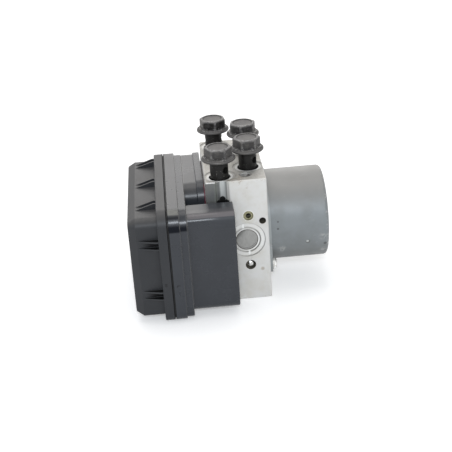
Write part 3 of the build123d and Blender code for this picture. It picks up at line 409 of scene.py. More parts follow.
plastics = {
    "housing": {"colour": (0.0350, 0.0380, 0.0440), "roughness": 0.24, "dust": 0.64},
    "cover": {"colour": (0.0265, 0.0280, 0.0310), "roughness": 0.42, "dust": 0.80},
}

plasticLook = {
    "dusty": (0.092, 0.089, 0.087),
    "cornerDust": (0.20, 0.20, 0.180),
    "crest": (0.155, 0.143, 0.148),
    "rubbed": (0.14, 0.138, 0.135),
    "shade": (0.003, 0.004, 0.007),
    "dark": (0.0015, 0.0015, 0.0018),
    "faded": 1.15,
    "specular": 0.28,
    "bandX": (-32.2, -28.6),
    "lipX": (-21.3, -20.9),
    "nearSide": (40.0, 42.0),
    "roundingX": (-38.0, -27.9),
    "shadeZ": (54.4, 58.6),
    "aboveX": (-38.0, -32.1),
    "aboveZ": (61.2, 62.5),
    "aboveY": (46.0, 47.0),
    "cornerX": (-38.0, -32.0),
    "cornerY": (-46.0, -43.0),
    "cornerZ": (62.6, 63.4),
    "crestX": (-27.9, -27.5),
    "gussetX": (-54.5, -43.6),
    "gussetY": (49.0, 49.3),
    "gussetTop": (54.0, 55.0),
    "slotX": (-53.0, -43.8),
    "slotFade": (-54.0, -47.0),
    "slotZ": [(15.95, 18.65), (45.9, 48.6)],
    "steps": [(-32.35, -31.85), (-28.45, -27.6)],
    "jointX": (-39.02, -37.85),
    "scuffs": [(-35.3, 22.5, 1.0), (-42.0, 24.0, 0.9)],
    "dullX": (-17.0, -9.0),
    "dullZ": (52.0, 54.0),
}


def plasticFinish(name):
    look = {**plasticLook, **plastics[name]}
    f = Finish(name + "Plastic", look)
    x, y, z = f.axes()
    back, up = f.facing()
    front = f.band(-back, 0.5, 0.9)
    nearSide = f.band(-y, *look["nearSide"])
    grain = f.noise(0.35, detail=2.0)
    cloud = f.noise(16.0, detail=4.0, roughness=0.6)
    scratches = f.noise(1.6, detail=5.0, roughness=0.75, stretch=(0.35, 1, 1), shift=1.7)
    # Dust and a painted sheen on faces that look up: least on the band and the lip, most on the
    # chamber between them
    thin = f.most(f.between(x, *look["bandX"], 0.4), f.band(x, *look["lipX"]))
    dust = f.band(up, 0.3, 0.95) * (0.45 + f.band(cloud, 0.35, 0.75) * 0.55) * (1 - thin * 0.75)
    faded = tuple(value * look["faded"] for value in look["colour"])
    f.ground(f.band(cloud), look["colour"], faded)
    f.layer(dust * look["dust"], look["dusty"])
    f.layer(f.band(scratches, 0.67, 0.80) * 0.25, look["dusty"])
    # Dust and a painted pale reflection on the flange's front corner
    corner = f.between(x, *look["cornerX"], 0.3) * f.band(z, *look["cornerZ"])
    corner = corner * (1 - f.band(y, *look["cornerY"]))
    corner = corner * (0.5 + f.band(scratches, 0.35, 0.6) * 0.5)
    f.layer(corner * 0.7, look["cornerDust"])
    # A painted dark reflection on the front corner, above and under its highlight
    rounding = f.between(x, *look["roundingX"], 0.2) * (1 - f.band(up, 0.15, 0.40)) * nearSide
    shade = rounding * f.between(z, *look["shadeZ"], 0.6) * f.band(-back, 0.3, 0.6)
    above = f.between(x, *look["aboveX"], 0.2) * f.between(z, *look["aboveZ"], 0.7)
    above = above * f.band(-y, *look["aboveY"])
    shade = f.most(shade, above * 0.75)
    f.layer(shade * 0.85, look["shade"])
    # A painted pale reflection along the shroud's rounded crest
    crest = f.between(up, 0.62, 0.985, 0.06) * nearSide * f.band(x, *look["crestX"])
    f.layer(crest * 0.8, look["crest"])
    # Painted shade on and between the paired gussets on the cover's side
    gussetShade = f.band(up, 0.5, 0.9) * f.band(-y, *look["gussetY"])
    gussetShade = gussetShade * f.between(x, *look["gussetX"], 0.2) * (1 - f.band(z, *look["gussetTop"]))
    for low, high in look["slotZ"]:
        slot = front * f.between(z, low, high, 0.3) * f.between(x, *look["slotX"], 0.1)
        gussetShade = f.most(gussetShade, slot * f.band(x, *look["slotFade"]))
    f.layer(gussetShade * 0.85, look["dark"])
    # The steps beside the band are painted paler: painted light over the shade along them
    steps = f.most(*[f.between(x, low, high, 0.1) for low, high in look["steps"]])
    f.layer(steps * f.band(up, -0.2, 0.2) * 0.6, look["rubbed"])
    # The joint's black line, and two small scuffs beside it
    joint = f.between(x, *look["jointX"], 0.12)
    f.layer(joint, look["dark"])
    for scuffX, scuffZ, radius in look["scuffs"]:
        scuff = front * f.spot(x, z, (scuffX, scuffZ), radius, 0.4)
        f.layer(scuff * f.band(scratches, 0.45, 0.55) * 0.8, look["dark"])
    # The shroud's edge is duller towards the block
    dull = nearSide * f.band(x, *look["dullX"]) * f.band(z, *look["dullZ"])
    gloss = look["roughness"] + f.band(cloud, 0.3, 0.7) * 0.06 + dust * 0.06
    f.set("Metallic", f.most(shade * 0.85, gussetShade * 0.6))
    f.set("Specular IOR Level", look["specular"])
    f.set("Roughness", gloss + joint * 0.5 + dull * 0.22)
    f.bump(grain, 0.010, 0.2)
    paint(f, "controller_" + name)


boltLook = {
    "phosphate": (0.078, 0.075, 0.075),
    "bronze": (0.105, 0.100, 0.094),
    "rubbed": (0.34, 0.335, 0.33),
    "oily": (0.006, 0.0055, 0.005),
    "streak": (0.10, 0.095, 0.08),
    "glint": (0.36, 0.36, 0.33),
    "metallic": 0.34,
    "specular": 0.16,
    "roughness": 0.50,
    "oiled": {"front_left": 0.45, "front_right": 0.50, "rear_left": 0.92, "rear_right": 0.75},
    "flats": (84.0, 88.3),
    "flatsReach": (7.3, 7.55),
    "rimReach": (8.7, 9.1),
    "rimZ": (82.9, 83.4),
    "cornerReach": (7.2, 7.55),
    "cornerZ": (83.8, 84.6),
    "crownReach": (5.5, 5.8),
    "crownZ": (88.7, 89.2),
    "dishReach": (5.0, 5.6),
    "dishZ": (88.3, 88.6),
    "wallReach": (4.9, 5.65),
    "wallZ": (88.4, 88.6),
    "footZ": (83.5, 84.9),
    "footInner": (6.4, 6.8),
    "footOuter": (8.3, 8.6),
    "specksZ": (82.2, 82.6),
    "shankZ": (82.0, 82.5),
    "shankReach": (8.5, 8.9),
    "glintZ": (77.0, 81.0),
}


def boltFinish(name):
    look = boltLook
    centreX, centreY = places["ports"][name]
    f = Finish(camelCase("boltPhosphate_" + name), look)
    x, y, z = f.axes()
    back, up = f.facing()
    radius = f.away(x, y, centreX, centreY)
    grain = f.noise(0.3, detail=4.0, roughness=0.7)
    wear = f.noise(1.1, detail=5.0, roughness=0.75, shift=centreX * 0.01)
    cloud = f.noise(4.0, shift=centreY * 0.01)
    f.ground(f.band(cloud), look["phosphate"], look["bronze"])
    # The flats facing the front are painted darker, in blotches, by an amount for each bolt
    flats = (1 - f.band(f.sum("ABSOLUTE", up), 0.2, 0.5)) * f.between(z, *look["flats"], 0.3)
    flats = flats * f.band(-back, 0.45, 0.75) * (1 - f.band(radius, *look["flatsReach"]))
    blotch = f.band(f.noise(2.6, shift=centreY * 0.02), 0.36, 0.60)
    darkFlats = flats * (0.6 + blotch * 0.4) * look["oiled"][name]
    f.layer(darkFlats, look["oily"])
    # Rubbed grey and painted highlights: the flange's rim, the hexagon's corners, the crown and
    # the dish
    rim = f.band(radius, *look["rimReach"]) * f.band(z, *look["rimZ"])
    corners = f.band(radius, *look["cornerReach"]) * f.band(z, *look["cornerZ"])
    corners = corners * f.band(f.noise(1.7, shift=centreX * 0.02), 0.42, 0.56)
    crown = f.band(z, *look["crownZ"]) * f.band(radius, *look["crownReach"])
    dish = f.band(up, 0.7, 0.95) * f.band(z, *look["dishZ"])
    dish = dish * (1 - f.band(radius, *look["dishReach"]))
    rubbed = f.most(f.most(rim * 0.30, corners * 0.46), f.most(crown * 0.75, dish * 0.12))
    rubbed = rubbed * (0.25 + f.band(wear, 0.40, 0.60) * 0.75)
    specks = f.band(wear, 0.60, 0.70) * f.band(z, *look["specksZ"]) * 0.5
    # Chips where the hexagon meets the flange
    foot = f.between(z, *look["footZ"], 0.25) * f.band(radius, *look["footInner"])
    foot = foot * (1 - f.band(radius, *look["footOuter"]))
    chips = foot * f.band(wear, 0.53, 0.60) * 0.85
    rubbed = f.most(f.most(rubbed, specks), chips)
    f.layer(rubbed, look["rubbed"])
    # The shank, the flange's underside and the dish's wall stay near black
    shank = (1 - f.band(z, *look["shankZ"])) * (1 - f.band(radius, *look["shankReach"]))
    f.layer(shank * 0.92, look["oily"])
    wall = f.between(radius, *look["wallReach"], 0.12) * f.band(z, *look["wallZ"]) * (1 - crown)
    f.layer(wall * 0.55, look["oily"])
    # Streaks and wet glints on the shank
    streaks = f.noise(0.9, stretch=(1, 1, 0.25), shift=0.9)
    f.layer(shank * f.band(streaks, 0.60, 0.72) * 0.2, look["streak"])
    glints = f.band(f.noise(0.8, detail=2.0, shift=centreX * 0.03), 0.66, 0.72)
    glints = shank * glints * (1 - f.band(z, *look["glintZ"]) * 0.7)
    f.layer(glints * 0.5, look["glint"])
    f.set("Metallic", look["metallic"] * (1 - shank))
    f.set("Specular IOR Level", look["specular"])
    f.set("Roughness", look["roughness"] - shank * 0.22 + f.band(grain, 0.4, 0.7) * 0.08)
    f.bump(grain * 0.6 + wear * 0.4, 0.06, 0.4)
    return f


motorLook = {
    "coat": (0.215, 0.235, 0.243),
    "brown": (0.138, 0.142, 0.138),
    "warm": (0.265, 0.258, 0.245),
    "bare": (0.50, 0.50, 0.48),
    "rub": (0.36, 0.355, 0.34),
    "flange": (0.40, 0.42, 0.42),
    "fleckDark": (0.05, 0.045, 0.04),
    "fleckLit": (0.60, 0.61, 0.60),
    "speck": (0.055, 0.055, 0.055),
    "metallic": 0.10,
    "roughness": 0.42,
    "underside": (14.0, 34.0),
    "flangeX": (18.0, 18.3),
    "endX": (48.6, 50.4),
    "endReach": (22.0, 25.0),
    "specks": [(22.2, 42.8, 0.5), (22.0, 38.8, 0.6), (48.4, 26.6, 0.9)],
    "smears": [(24.2, 24.8, 2.1), (46.9, 31.6, 1.9), (47.9, 21.6, 1.6)],
    "fleck": (38.6, 29.0, 1.2),
}


def motorFinish():
    look = motorLook
    f = Finish("motorCoat", look)
    x, y, z = f.axes()
    back, up = f.facing()
    front = f.band(-back, 0.2, 0.5)
    radius = f.away(y, z, 0.0, places["axisHeight"])
    grain = f.noise(0.5)
    cloud = f.noise(11.0, detail=4.0, roughness=0.6)
    wear = f.noise(1.8, detail=5.0, roughness=0.75, shift=2.2)
    rub = f.noise(2.2, detail=4.0, roughness=0.6, stretch=(0.4, 1, 1), shift=5.0)
    f.ground(f.band(cloud, 0.35, 0.75) * 0.4, look["coat"], look["brown"])
    # The can's lower front is painted darker: painted shade
    low = (1 - f.band(z, *look["underside"])) * f.band(-back, 0.0, 0.6)
    f.layer(low * 0.85, look["brown"])
    f.layer(f.band(up, 0.35, 0.9) * 0.8, look["warm"])
    f.layer(f.band(rub, 0.62, 0.76) * 0.3, look["rub"])
    # The flange's rim catches the light beside the block
    f.layer((1 - f.band(x, *look["flangeX"])) * 0.5, look["flange"])
    # Chipped coating round the can's end, and smears, a fleck and specks on its front
    chips = f.band(x, *look["endX"]) * f.band(radius, *look["endReach"]) * f.band(wear, 0.54, 0.64)
    chips = f.most(chips, f.band(wear, 0.755, 0.78))
    f.layer(chips, look["bare"])
    for smearX, smearZ, size in look["smears"]:
        smear = front * f.spot(x, z, (smearX, smearZ), size, 1.0) * f.band(wear, 0.42, 0.56)
        f.layer(smear * 0.40, look["bare"])
    fleckX, fleckZ, fleckSize = look["fleck"]
    fleck = front * f.spot(x, z, (fleckX, fleckZ), fleckSize, 0.3)
    f.layer(fleck * 0.5, look["fleckDark"])
    lit = front * f.spot(x, z, (fleckX - 0.2, fleckZ + 0.3), fleckSize * 0.6, 0.25)
    f.layer(lit * 0.8, look["fleckLit"])
    for speckX, speckZ, size in look["specks"]:
        speck = front * f.spot(x, z, (speckX, speckZ), size, 0.25)
        f.layer(speck * 0.8, look["speck"])
    f.set("Roughness", look["roughness"] + f.band(cloud, 0.3, 0.7) * 0.08)
    f.bump(grain * 0.3 - chips, 0.05)
    paint(f, "motor_can")


def turnedFinish(name, look):
    # Turned metal: fine rings round an axis, along X, Y or Z
    f = Finish(name, look)
    x, y, z = f.axes()
    first, second = {"X": (y, z), "Y": (x, z), "Z": (x, y)}[look["along"]]
    radius = f.away(first, second, *look["centre"])
    rings = f.sum("SINE", radius * 28.0 + f.noise(2.0) * 5.0)
    cloud = f.noise(1.6, detail=4.0, roughness=0.7, shift=look["centre"][0] * 0.01)
    dirty = tuple(value * 0.55 for value in look["colour"])
    f.ground(f.band(cloud, 0.42, 0.72) * 0.6, look["colour"], dirty)
    f.set("Roughness", look["roughness"] + f.band(cloud) * 0.15)
    f.bump(rings, 0.008)
    return f


plugLook = {
    "pale": (0.325, 0.325, 0.315),
    "dull": (0.28, 0.28, 0.27),
    "crescent": (0.10, 0.10, 0.095),
    "joint": (0.045, 0.040, 0.035),
    "metallic": 0.75,
    "roughness": 0.36,
    "jointReach": (5.65, 5.9),
    "crescentReach": (-36.6, -33.0),
}


def plugFinish():
    # The pump plugs: streaked discs with a dark joint, and a shade at the upper left
    look = plugLook
    f = Finish("plugSteel", look)
    x, _, z = f.axes()
    radius = f.away(x, z, *places["pumpPlug"])
    streaks = f.noise(1.1, detail=5.0, roughness=0.7, stretch=(2.5, 1, 0.5))
    cloud = f.noise(3.0)
    f.ground(f.band(streaks), look["pale"], look["dull"])
    crescent = 1 - f.band(x - z * 0.9, *look["crescentReach"])
    f.layer(crescent * 0.75, look["crescent"])
    f.layer(f.band(radius, *look["jointReach"]), look["joint"])
    f.set("Roughness", look["roughness"] + f.band(cloud, 0.3, 0.7) * 0.18)
    f.bump(streaks, 0.03)
    paint(f, "pump_plug_front", "pump_plug_rear")


topPlugLook = {
    "pale": (0.50, 0.50, 0.49),
    "dull": (0.36, 0.355, 0.34),
    "oily": (0.075, 0.070, 0.062),
    "rim": (0.62, 0.62, 0.60),
    "metallic": 0.6,
    "roughness": 0.38,
    "rimReach": (2.55, 2.75),
}


def topPlugFinish():
    # Pressed-in plugs in the top: painted shade darkens their near right, while the far left stays
    # bright
    look = topPlugLook
    f = Finish("topPlugSteel", look)
    x, y, _ = f.axes()
    plugX, plugY = places["topPlugs"]
    radius = f.away(x, f.sum("ABSOLUTE", y), plugX, plugY)
    cloud = f.noise(0.9, detail=4.0, roughness=0.7)
    side = f.band((x - plugX) * 0.8 - y - plugY + (cloud - 0.5) * 2.0, -0.9, 0.9)
    f.ground(f.band(cloud), look["pale"], look["dull"])
    f.layer(side * 0.75, look["oily"])
    f.layer(f.band(radius, *look["rimReach"]) * 0.5, look["rim"])
    f.bump(cloud, 0.03)
    paint(f, "bore_plugs")


zincLook = {
    "pale": (0.33, 0.32, 0.21),
    "dull": (0.20, 0.19, 0.11),
    "ring": (0.045, 0.04, 0.02),
    "rim": (0.55, 0.54, 0.42),
    "bore": (0.090, 0.080, 0.028),
    "metallic": 0.7,
    "roughness": 0.34,
    "boreReach": (1.35, 1.6),
    "ringReach": (2.1, 2.55),
    "rimReach": (2.6, 2.7),
}


def zincFinish():
    # Passivated sleeve: pale at the rim, with a dark ring strongest at the lower right, and dark
    # olive towards the bore
    look = zincLook
    f = Finish("yellowZinc", look)
    x, _, z = f.axes()
    sleeveX, sleeveZ = places["sleeve"]
    radius = f.away(x, z, sleeveX, sleeveZ)
    cloud = f.noise(1.0, detail=4.0, roughness=0.7)
    f.ground(f.band(cloud), look["pale"], look["dull"])
    lowRight = 0.25 + f.band(x - sleeveX - (z - sleeveZ), -1.0, 2.0) * 0.65
    ring = f.between(radius, *look["ringReach"], 0.08)
    f.layer(ring * lowRight, look["ring"])
    f.layer(f.band(radius, *look["rimReach"]) * 0.6, look["rim"])
    f.layer(1 - f.band(radius, *look["boreReach"]), look["bore"])
    f.set("Roughness", look["roughness"] + f.band(cloud, 0.3, 0.7) * 0.15)
    f.bump(cloud, 0.03)
    paint(f, "orifice_sleeves")


sealLook = {
    "red": (0.150, 0.012, 0.034),
    "deepRed": (0.095, 0.010, 0.024),
    "dirt": (0.010, 0.009, 0.010),
    "roughness": 0.5,
}


def sealFinish():
    # Dark red, and painted shade, near black, where it faces up
    look = sealLook
    f = Finish("sealRed", look)
    _, up = f.facing()
    cloud = f.noise(1.4, detail=4.0)
    f.ground(f.band(cloud), look["red"], look["deepRed"])
    f.layer(f.band(up, 0.8, 0.98) * 0.9, look["dirt"])
    f.bump(cloud, 0.04)
    paint(f, "block_seal")


def grainedFinish(name, look):
    # A plain material with its own grain: two tones, an uneven gloss and a fine bump
    f = Finish(name, look)
    size = look["grain"]
    stretch = look.get("stretch", (1, 1, 1))
    coarse = f.noise(size * 6.0, detail=4.0, roughness=0.6, stretch=stretch)
    fine = f.noise(size, stretch=stretch, shift=0.7)
    tones = f.band(coarse * 0.6 + fine * 0.4, 0.36, 0.66)
    f.ground(tones, look["colour"], look["second"])
    f.set("Roughness", look["roughness"] + f.band(fine) * 0.12)
    f.bump(fine, look.get("depth", 0.03))
    return f


boardLook = {
    "mask": (0.010, 0.085, 0.042),
    "track": (0.022, 0.165, 0.075),
    "pad": (0.62, 0.60, 0.52),
    "roughness": 0.3,
    "trackPitch": 2.2,
    "padSpacing": 3.6,
}


def boardFinish():
    # Solder mask with copper tracks under it
    look = boardLook
    f = Finish("boardGreen", look)
    _, y, z = f.axes()
    pitch = look["trackPitch"]
    lanes = f.sum("FRACT", y / pitch + f.noise(16.0, detail=0.0) * 3.0)
    rows = f.sum("FRACT", z / pitch + f.noise(20.0, detail=0.0, shift=2.0) * 3.0)
    tracks = f.most(f.between(lanes, 0.15, 0.42, 0.03), f.between(rows, 0.2, 0.45, 0.03))
    f.ground(tracks, look["mask"], look["track"])
    pads = 1 - f.band(f.cells(look["padSpacing"]), 0.16, 0.20)
    f.layer(pads * 0.9, look["pad"])
    f.set("Metallic", pads * 0.8)
    f.bump(tracks + pads, 0.03)
    paint(f, "circuit_board")


windingLook = {
    "gap": (0.22, 0.075, 0.028),
    "wire": (0.62, 0.28, 0.12),
    "metallic": 0.8,
    "roughness": 0.28,
    "turns": 60.0,
    "layers": 12.0,
}


def windingFinish():
    # Enamelled wire laid along the slots
    look = windingLook
    f = Finish("windingCopper", look)
    _, y, z = f.axes()
    angle = f.sum("ARCTAN2", z - places["axisHeight"], y)
    turns = f.sum("SINE", angle * look["turns"])
    layers = f.sum("SINE", f.away(y, z, 0.0, places["axisHeight"]) * look["layers"])
    cloud = f.noise(3.0)
    f.ground(f.band(turns + cloud, 0.0, 1.2), look["gap"], look["wire"])
    f.bump(turns + layers, 0.10, 0.7)
    paint(f, "armature_winding")


laminationLook = {
    "pale": (0.36, 0.35, 0.34),
    "dull": (0.24, 0.22, 0.20),
    "gap": (0.06, 0.05, 0.045),
    "metallic": 0.9,
    "roughness": 0.42,
    "sheetsPerMillimetre": 2.0,
}


def laminationFinish():
    look = laminationLook
    f = Finish("laminationSteel", look)
    x, _, _ = f.axes()
    sheets = f.sum("FRACT", x * look["sheetsPerMillimetre"])
    gap = 1 - f.between(sheets, 0.12, 0.88, 0.06)
    cloud = f.noise(2.5, detail=4.0)
    f.ground(f.band(cloud), look["pale"], look["dull"])
    f.layer(gap * 0.7, look["gap"])
    f.bump(-gap, 0.05, 0.8)
    paint(f, "armature_core")


springLook = {
    "pale": (0.42, 0.42, 0.43),
    "dull": (0.27, 0.26, 0.25),
    "metallic": 0.95,
    "roughness": 0.26,
    "slot": "spring_steel",
    "weld": 0.002,
    "smooth": 45.0,
}


def springFinish():
    look = springLook
    f = Finish("springSteel", look)
    drawn = f.noise(0.25)
    cloud = f.noise(1.8, shift=0.3)
    f.ground(f.band(cloud), look["pale"], look["dull"])
    f.set("Roughness", look["roughness"] + f.band(drawn, 0.3, 0.7) * 0.16)
    f.bump(drawn, 0.01)
    paint(f, *[name for name in nodes if "spring" in name])


# Pieces seen little or not at all: two tones, grain in millimetres, gloss
plainLooks = {
    "chipBlack": {
        "nodes": ["control_chips"],
        "colour": (0.022, 0.022, 0.024), "second": (0.040, 0.040, 0.042),
        "grain": 0.2, "roughness": 0.45,
    },
    "pinTin": {
        "nodes": ["connector_pins", "motor_contact"],
        "colour": (0.72, 0.66, 0.46), "second": (0.58, 0.50, 0.30),
        "grain": 0.3, "roughness": 0.24, "metallic": 0.95, "depth": 0.01,
    },
    "sealBlack": {
        "nodes": ["cover_seal"],
        "colour": (0.012, 0.012, 0.012), "second": (0.022, 0.021, 0.020),
        "grain": 0.4, "roughness": 0.42,
    },
    "coilBlack": {
        "nodes": [name for name in nodes if name.startswith("valve_coil_")],
        "colour": (0.030, 0.030, 0.033), "second": (0.050, 0.049, 0.050),
        "grain": 0.35, "roughness": 0.45,
    },
    "valveSteel": {
        "nodes": [name for name in nodes if name.startswith(("valve_body_", "valve_plunger_"))],
        "colour": (0.62, 0.62, 0.61), "second": (0.48, 0.47, 0.45),
        "grain": 0.15, "roughness": 0.18, "metallic": 1.0, "depth": 0.006,
        "stretch": (0.15, 1, 1),
    },
    "groundSteel": {
        "nodes": [
            "pump_piston_front", "pump_piston_rear", "rotor_shaft",
            "drive_end_bearing", "eccentric_bearing",
        ],
        "colour": (0.68, 0.68, 0.68), "second": (0.54, 0.53, 0.52),
        "grain": 0.15, "roughness": 0.16, "metallic": 1.0, "depth": 0.006,
        "stretch": (0.2, 1, 1),
    },
    "anodisedPiston": {
        "nodes": ["accumulator_piston_front", "accumulator_piston_rear"],
        "colour": (0.52, 0.48, 0.36), "second": (0.42, 0.39, 0.31),
        "grain": 0.25, "roughness": 0.32, "metallic": 0.8, "depth": 0.01,
    },
    "magnetFerrite": {
        "nodes": ["motor_magnets"],
        "colour": (0.075, 0.075, 0.080), "second": (0.045, 0.045, 0.047),
        "grain": 0.4, "roughness": 0.55, "metallic": 0.3,
    },
    "bearingBronze": {
        "nodes": ["tail_bearing", "commutator"],
        "colour": (0.55, 0.30, 0.13), "second": (0.38, 0.20, 0.09),
        "grain": 0.3, "roughness": 0.30, "metallic": 0.95, "depth": 0.015,
    },
    "brushCarbon": {
        "nodes": ["motor_brushes"],
        "colour": (0.030, 0.030, 0.031), "second": (0.055, 0.054, 0.053),
        "grain": 0.2, "roughness": 0.40, "metallic": 0.2,
    },
    "holderPlastic": {
        "nodes": ["brush_holder"],
        "colour": (0.060, 0.054, 0.047), "second": (0.095, 0.088, 0.078),
        "grain": 0.3, "roughness": 0.5,
    },
}

turnedLooks = {
    "ballSteel": {
        "node": "sealing_balls", "colour": (0.66, 0.66, 0.65),
        "centre": places["ball"], "along": "Y", "roughness": 0.16, "metallic": 1.0,
    },
    "capSteel": {
        "node": "accumulator_caps", "colour": (0.50, 0.50, 0.48),
        "centre": (3.0, 0.0), "along": "Z", "roughness": 0.36, "metallic": 0.9,
    },
    "capacitorCan": {
        "node": "capacitor", "colour": (0.62, 0.62, 0.64),
        "centre": (-36.0, 48.9), "along": "X", "roughness": 0.24, "metallic": 1.0,
    },
}


def addFinishes():
    blockFinish()
    for name in plastics:
        plasticFinish(name)
    motorFinish()
    plugFinish()
    topPlugFinish()
    zincFinish()
    sealFinish()
    boardFinish()
    windingFinish()
    laminationFinish()
    springFinish()
    for name, look in turnedLooks.items():
        paint(turnedFinish(name, look), look["node"])
    for name, look in plainLooks.items():
        paint(grainedFinish(name, look), *look["nodes"])
    print("finishes done")


# Mesh helpers, all through the edit-mode operators

def clearSelection():
    if bpy.context.mode != "OBJECT":
        bpy.ops.object.mode_set(mode="OBJECT")
    bpy.ops.object.select_all(action="DESELECT")


def select(*pieces):
    # The first is the active one
    clearSelection()
    for piece in pieces:
        piece.select_set(True)
    bpy.context.view_layer.objects.active = pieces[0]


def turnBy(degrees, axis):
    return Matrix.Rotation(math.radians(degrees), 4, axis)


def moveBy(*place):
    return Matrix.Translation(Vector(place) * mm)


def lathe(name, profile, steps):
    # profile: (radius, height) from bottom to top, closed at both ends
    clearSelection()
    (radius, height), *rest = profile
    bpy.ops.mesh.primitive_circle_add(
        vertices=steps, radius=radius * mm, fill_type="NGON", location=(0, 0, height * mm))
    piece = bpy.context.object
    piece.name = name
    bpy.ops.object.mode_set(mode="EDIT")
    bpy.ops.mesh.select_all(action="SELECT")
    bpy.ops.mesh.flip_normals()
    for nextRadius, nextHeight in rest:
        move = {"value": (0, 0, (nextHeight - height) * mm)}
        bpy.ops.mesh.extrude_region_move(TRANSFORM_OT_translate=move)
        scale = nextRadius / radius
        bpy.ops.transform.resize(value=(scale, scale, 1), center_override=(0, 0, nextHeight * mm))
        radius, height = nextRadius, nextHeight
    bpy.ops.mesh.select_all(action="SELECT")
    bpy.ops.mesh.normals_make_consistent(inside=False)
    bpy.ops.object.mode_set(mode="OBJECT")
    bpy.ops.object.transform_apply(location=True, rotation=True, scale=True)
    return piece


def rod(name, radius, start, end, steps=40):
    return lathe(name, [(radius, start), (radius, end)], steps)


def cutBy(piece, tool, operation="DIFFERENCE"):
    select(piece)
    cut = piece.modifiers.new("cut", "BOOLEAN")
    cut.operation = operation
    cut.solver = "EXACT"
    cut.object = tool
    bpy.ops.object.modifier_apply(modifier=cut.name)
    bpy.data.objects.remove(tool)


def softenEdges(piece, width, segments, angle):
    # width in millimetres, angle in degrees
    select(piece)
    edge = piece.modifiers.new("softEdges", "BEVEL")
    edge.width = width * mm
    edge.segments = segments
    edge.limit_method = "ANGLE"
    edge.angle_limit = math.radians(angle)
    edge.use_clamp_overlap = True
    bpy.ops.object.modifier_apply(modifier=edge.name)
    bpy.ops.object.shade_smooth_by_angle(angle=math.radians(angle))


def joinPieces(first, *others):
    select(first, *others)
    bpy.ops.object.join()
    return first


def placeCopy(model, name, matrix):
    # A copy with its own mesh, its place in the mesh
    piece = model.copy()
    piece.data = model.data.copy()
    piece.name = name
    bpy.context.scene.collection.objects.link(piece)
    piece.data.transform(matrix)
    return piece


# Banjo bolts

boltSizes = {  # heights are from the block's top face
    "top": 72.2,
    "threadEnd": -12.5,
    "thread": 4.95,
    "threadRoot": 4.55,
    "threadChamfer": 0.8,
    "threadRunOut": -0.6,
    "pitch": 1.0,
    "neck": 4.6,
    "grip": 9.9,
    "collar": 6.2,
    "flange": 9.2,
    "rim": 10.0,
    "flangeTop": 11.2,
    "shoulder": 12.2,
    "hexCorner": 7.737,
    "headTop": 17.2,
    "crown": 6.35,
    "dish": 5.75,
    "dishFloor": 5.1,
    "dishDepth": 0.5,
    "crossRadius": 1.9,
    "crossHeight": 4.5,
    "crossTurn": 46.0,
    "bore": 2.2,
    "shankEdge": 0.12,
    "hexEdge": 0.30,
    "crownEdge": 0.10,
    "smooth": 32.0,
    "turns": {"front_left": -3.0, "front_right": 4.0, "rear_left": 39.0, "rear_right": 18.0},
}


def modelBolt():
    s = boltSizes
    profile = [
        (s["threadRoot"] - 0.4, s["threadEnd"]),
        (s["thread"], s["threadEnd"] + s["threadChamfer"]),
    ]
    height = s["threadEnd"] + s["threadChamfer"] + 0.4
    while height < 2 * s["threadRunOut"]:  # the thread's turns
        profile += [(s["threadRoot"], height), (s["thread"], height + s["pitch"] / 2)]
        height += s["pitch"]
    profile += [
        (s["thread"], s["threadRunOut"]),
        (s["thread"], s["grip"] - 1.6),
        (s["neck"], s["grip"] - 1.2),
        (s["neck"], s["grip"] - 0.3),
        (s["neck"] + 0.3, s["grip"]),
        (s["collar"], s["grip"] + 0.05),
        (s["collar"] + 0.4, s["grip"] + 0.25),
        (s["flange"] - 0.45, s["rim"]),
        (s["flange"] - 0.15, s["rim"] + 0.1),
        (s["flange"], s["rim"] + 0.35),
        (s["flange"], s["flangeTop"] - 0.35),
        (s["flange"] - 0.1, s["flangeTop"] - 0.1),
        (s["flange"] - 0.4, s["flangeTop"] + 0.05),
        (s["hexCorner"] + 0.4, s["shoulder"] - 0.2),
        (s["hexCorner"] - 0.5, s["shoulder"]),
    ]
    shank = lathe("boltShank", profile, 64)
    boreTop = s["crossHeight"] + s["crossRadius"] + 0.8
    bore = rod("boltBore", s["bore"], s["threadEnd"] - 1.0, boreTop, 32)
    cutBy(shank, bore)
    cross = rod("boltCross", s["crossRadius"], -s["flange"], s["flange"], 32)
    lift = moveBy(0, 0, s["crossHeight"])
    cross.data.transform(lift @ turnBy(s["crossTurn"], "Z") @ turnBy(90, "X"))
    cutBy(shank, cross)
    softenEdges(shank, s["shankEdge"], 2, 40.0)
    hexagon = [(s["hexCorner"], s["flangeTop"] - 0.2), (s["hexCorner"], s["headTop"] + 1.0)]
    head = lathe("boltHead", hexagon, 6)
    head.data.transform(turnBy(30, "Z"))
    softenEdges(head, s["hexEdge"], 3, 50.0)
    crown = lathe("boltCrown", [
        (s["flange"], s["flangeTop"] - 0.5),
        (s["flange"], s["headTop"] - 2.0),
        (s["hexCorner"] + 0.25, s["headTop"] - 0.85),
        (s["crown"], s["headTop"] - 0.12),
        (s["crown"] - 0.2, s["headTop"]),
        (s["dish"], s["headTop"]),
        (s["dish"] - 0.25, s["headTop"] - 0.10),
        (s["dishFloor"], s["headTop"] - s["dishDepth"] * 0.7),
        (s["dishFloor"] * 0.7, s["headTop"] - s["dishDepth"]),
        (s["dishFloor"] * 0.3, s["headTop"] - s["dishDepth"] - 0.05),
    ], 64)
    cutBy(head, crown, "INTERSECT")
    softenEdges(head, s["crownEdge"], 2, 25.0)
    bolt = joinPieces(shank, head)
    bpy.ops.object.shade_smooth_by_angle(angle=math.radians(s["smooth"]))
    return bolt


def addBolts():
    model = modelBolt()
    for name, (x, y) in places["ports"].items():
        place = moveBy(x, y, boltSizes["top"]) @ turnBy(boltSizes["turns"][name], "Z")
        piece = placeCopy(model, camelCase("banjoBolt_" + name), place)
        coat(piece, boltFinish(name))
        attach(piece, "unit")
        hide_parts("banjo_bolt_" + name)
    bpy.data.objects.remove(model)
    print("bolts done")


# Motor screws: a ridged collar round a domed head with a six-lobed socket

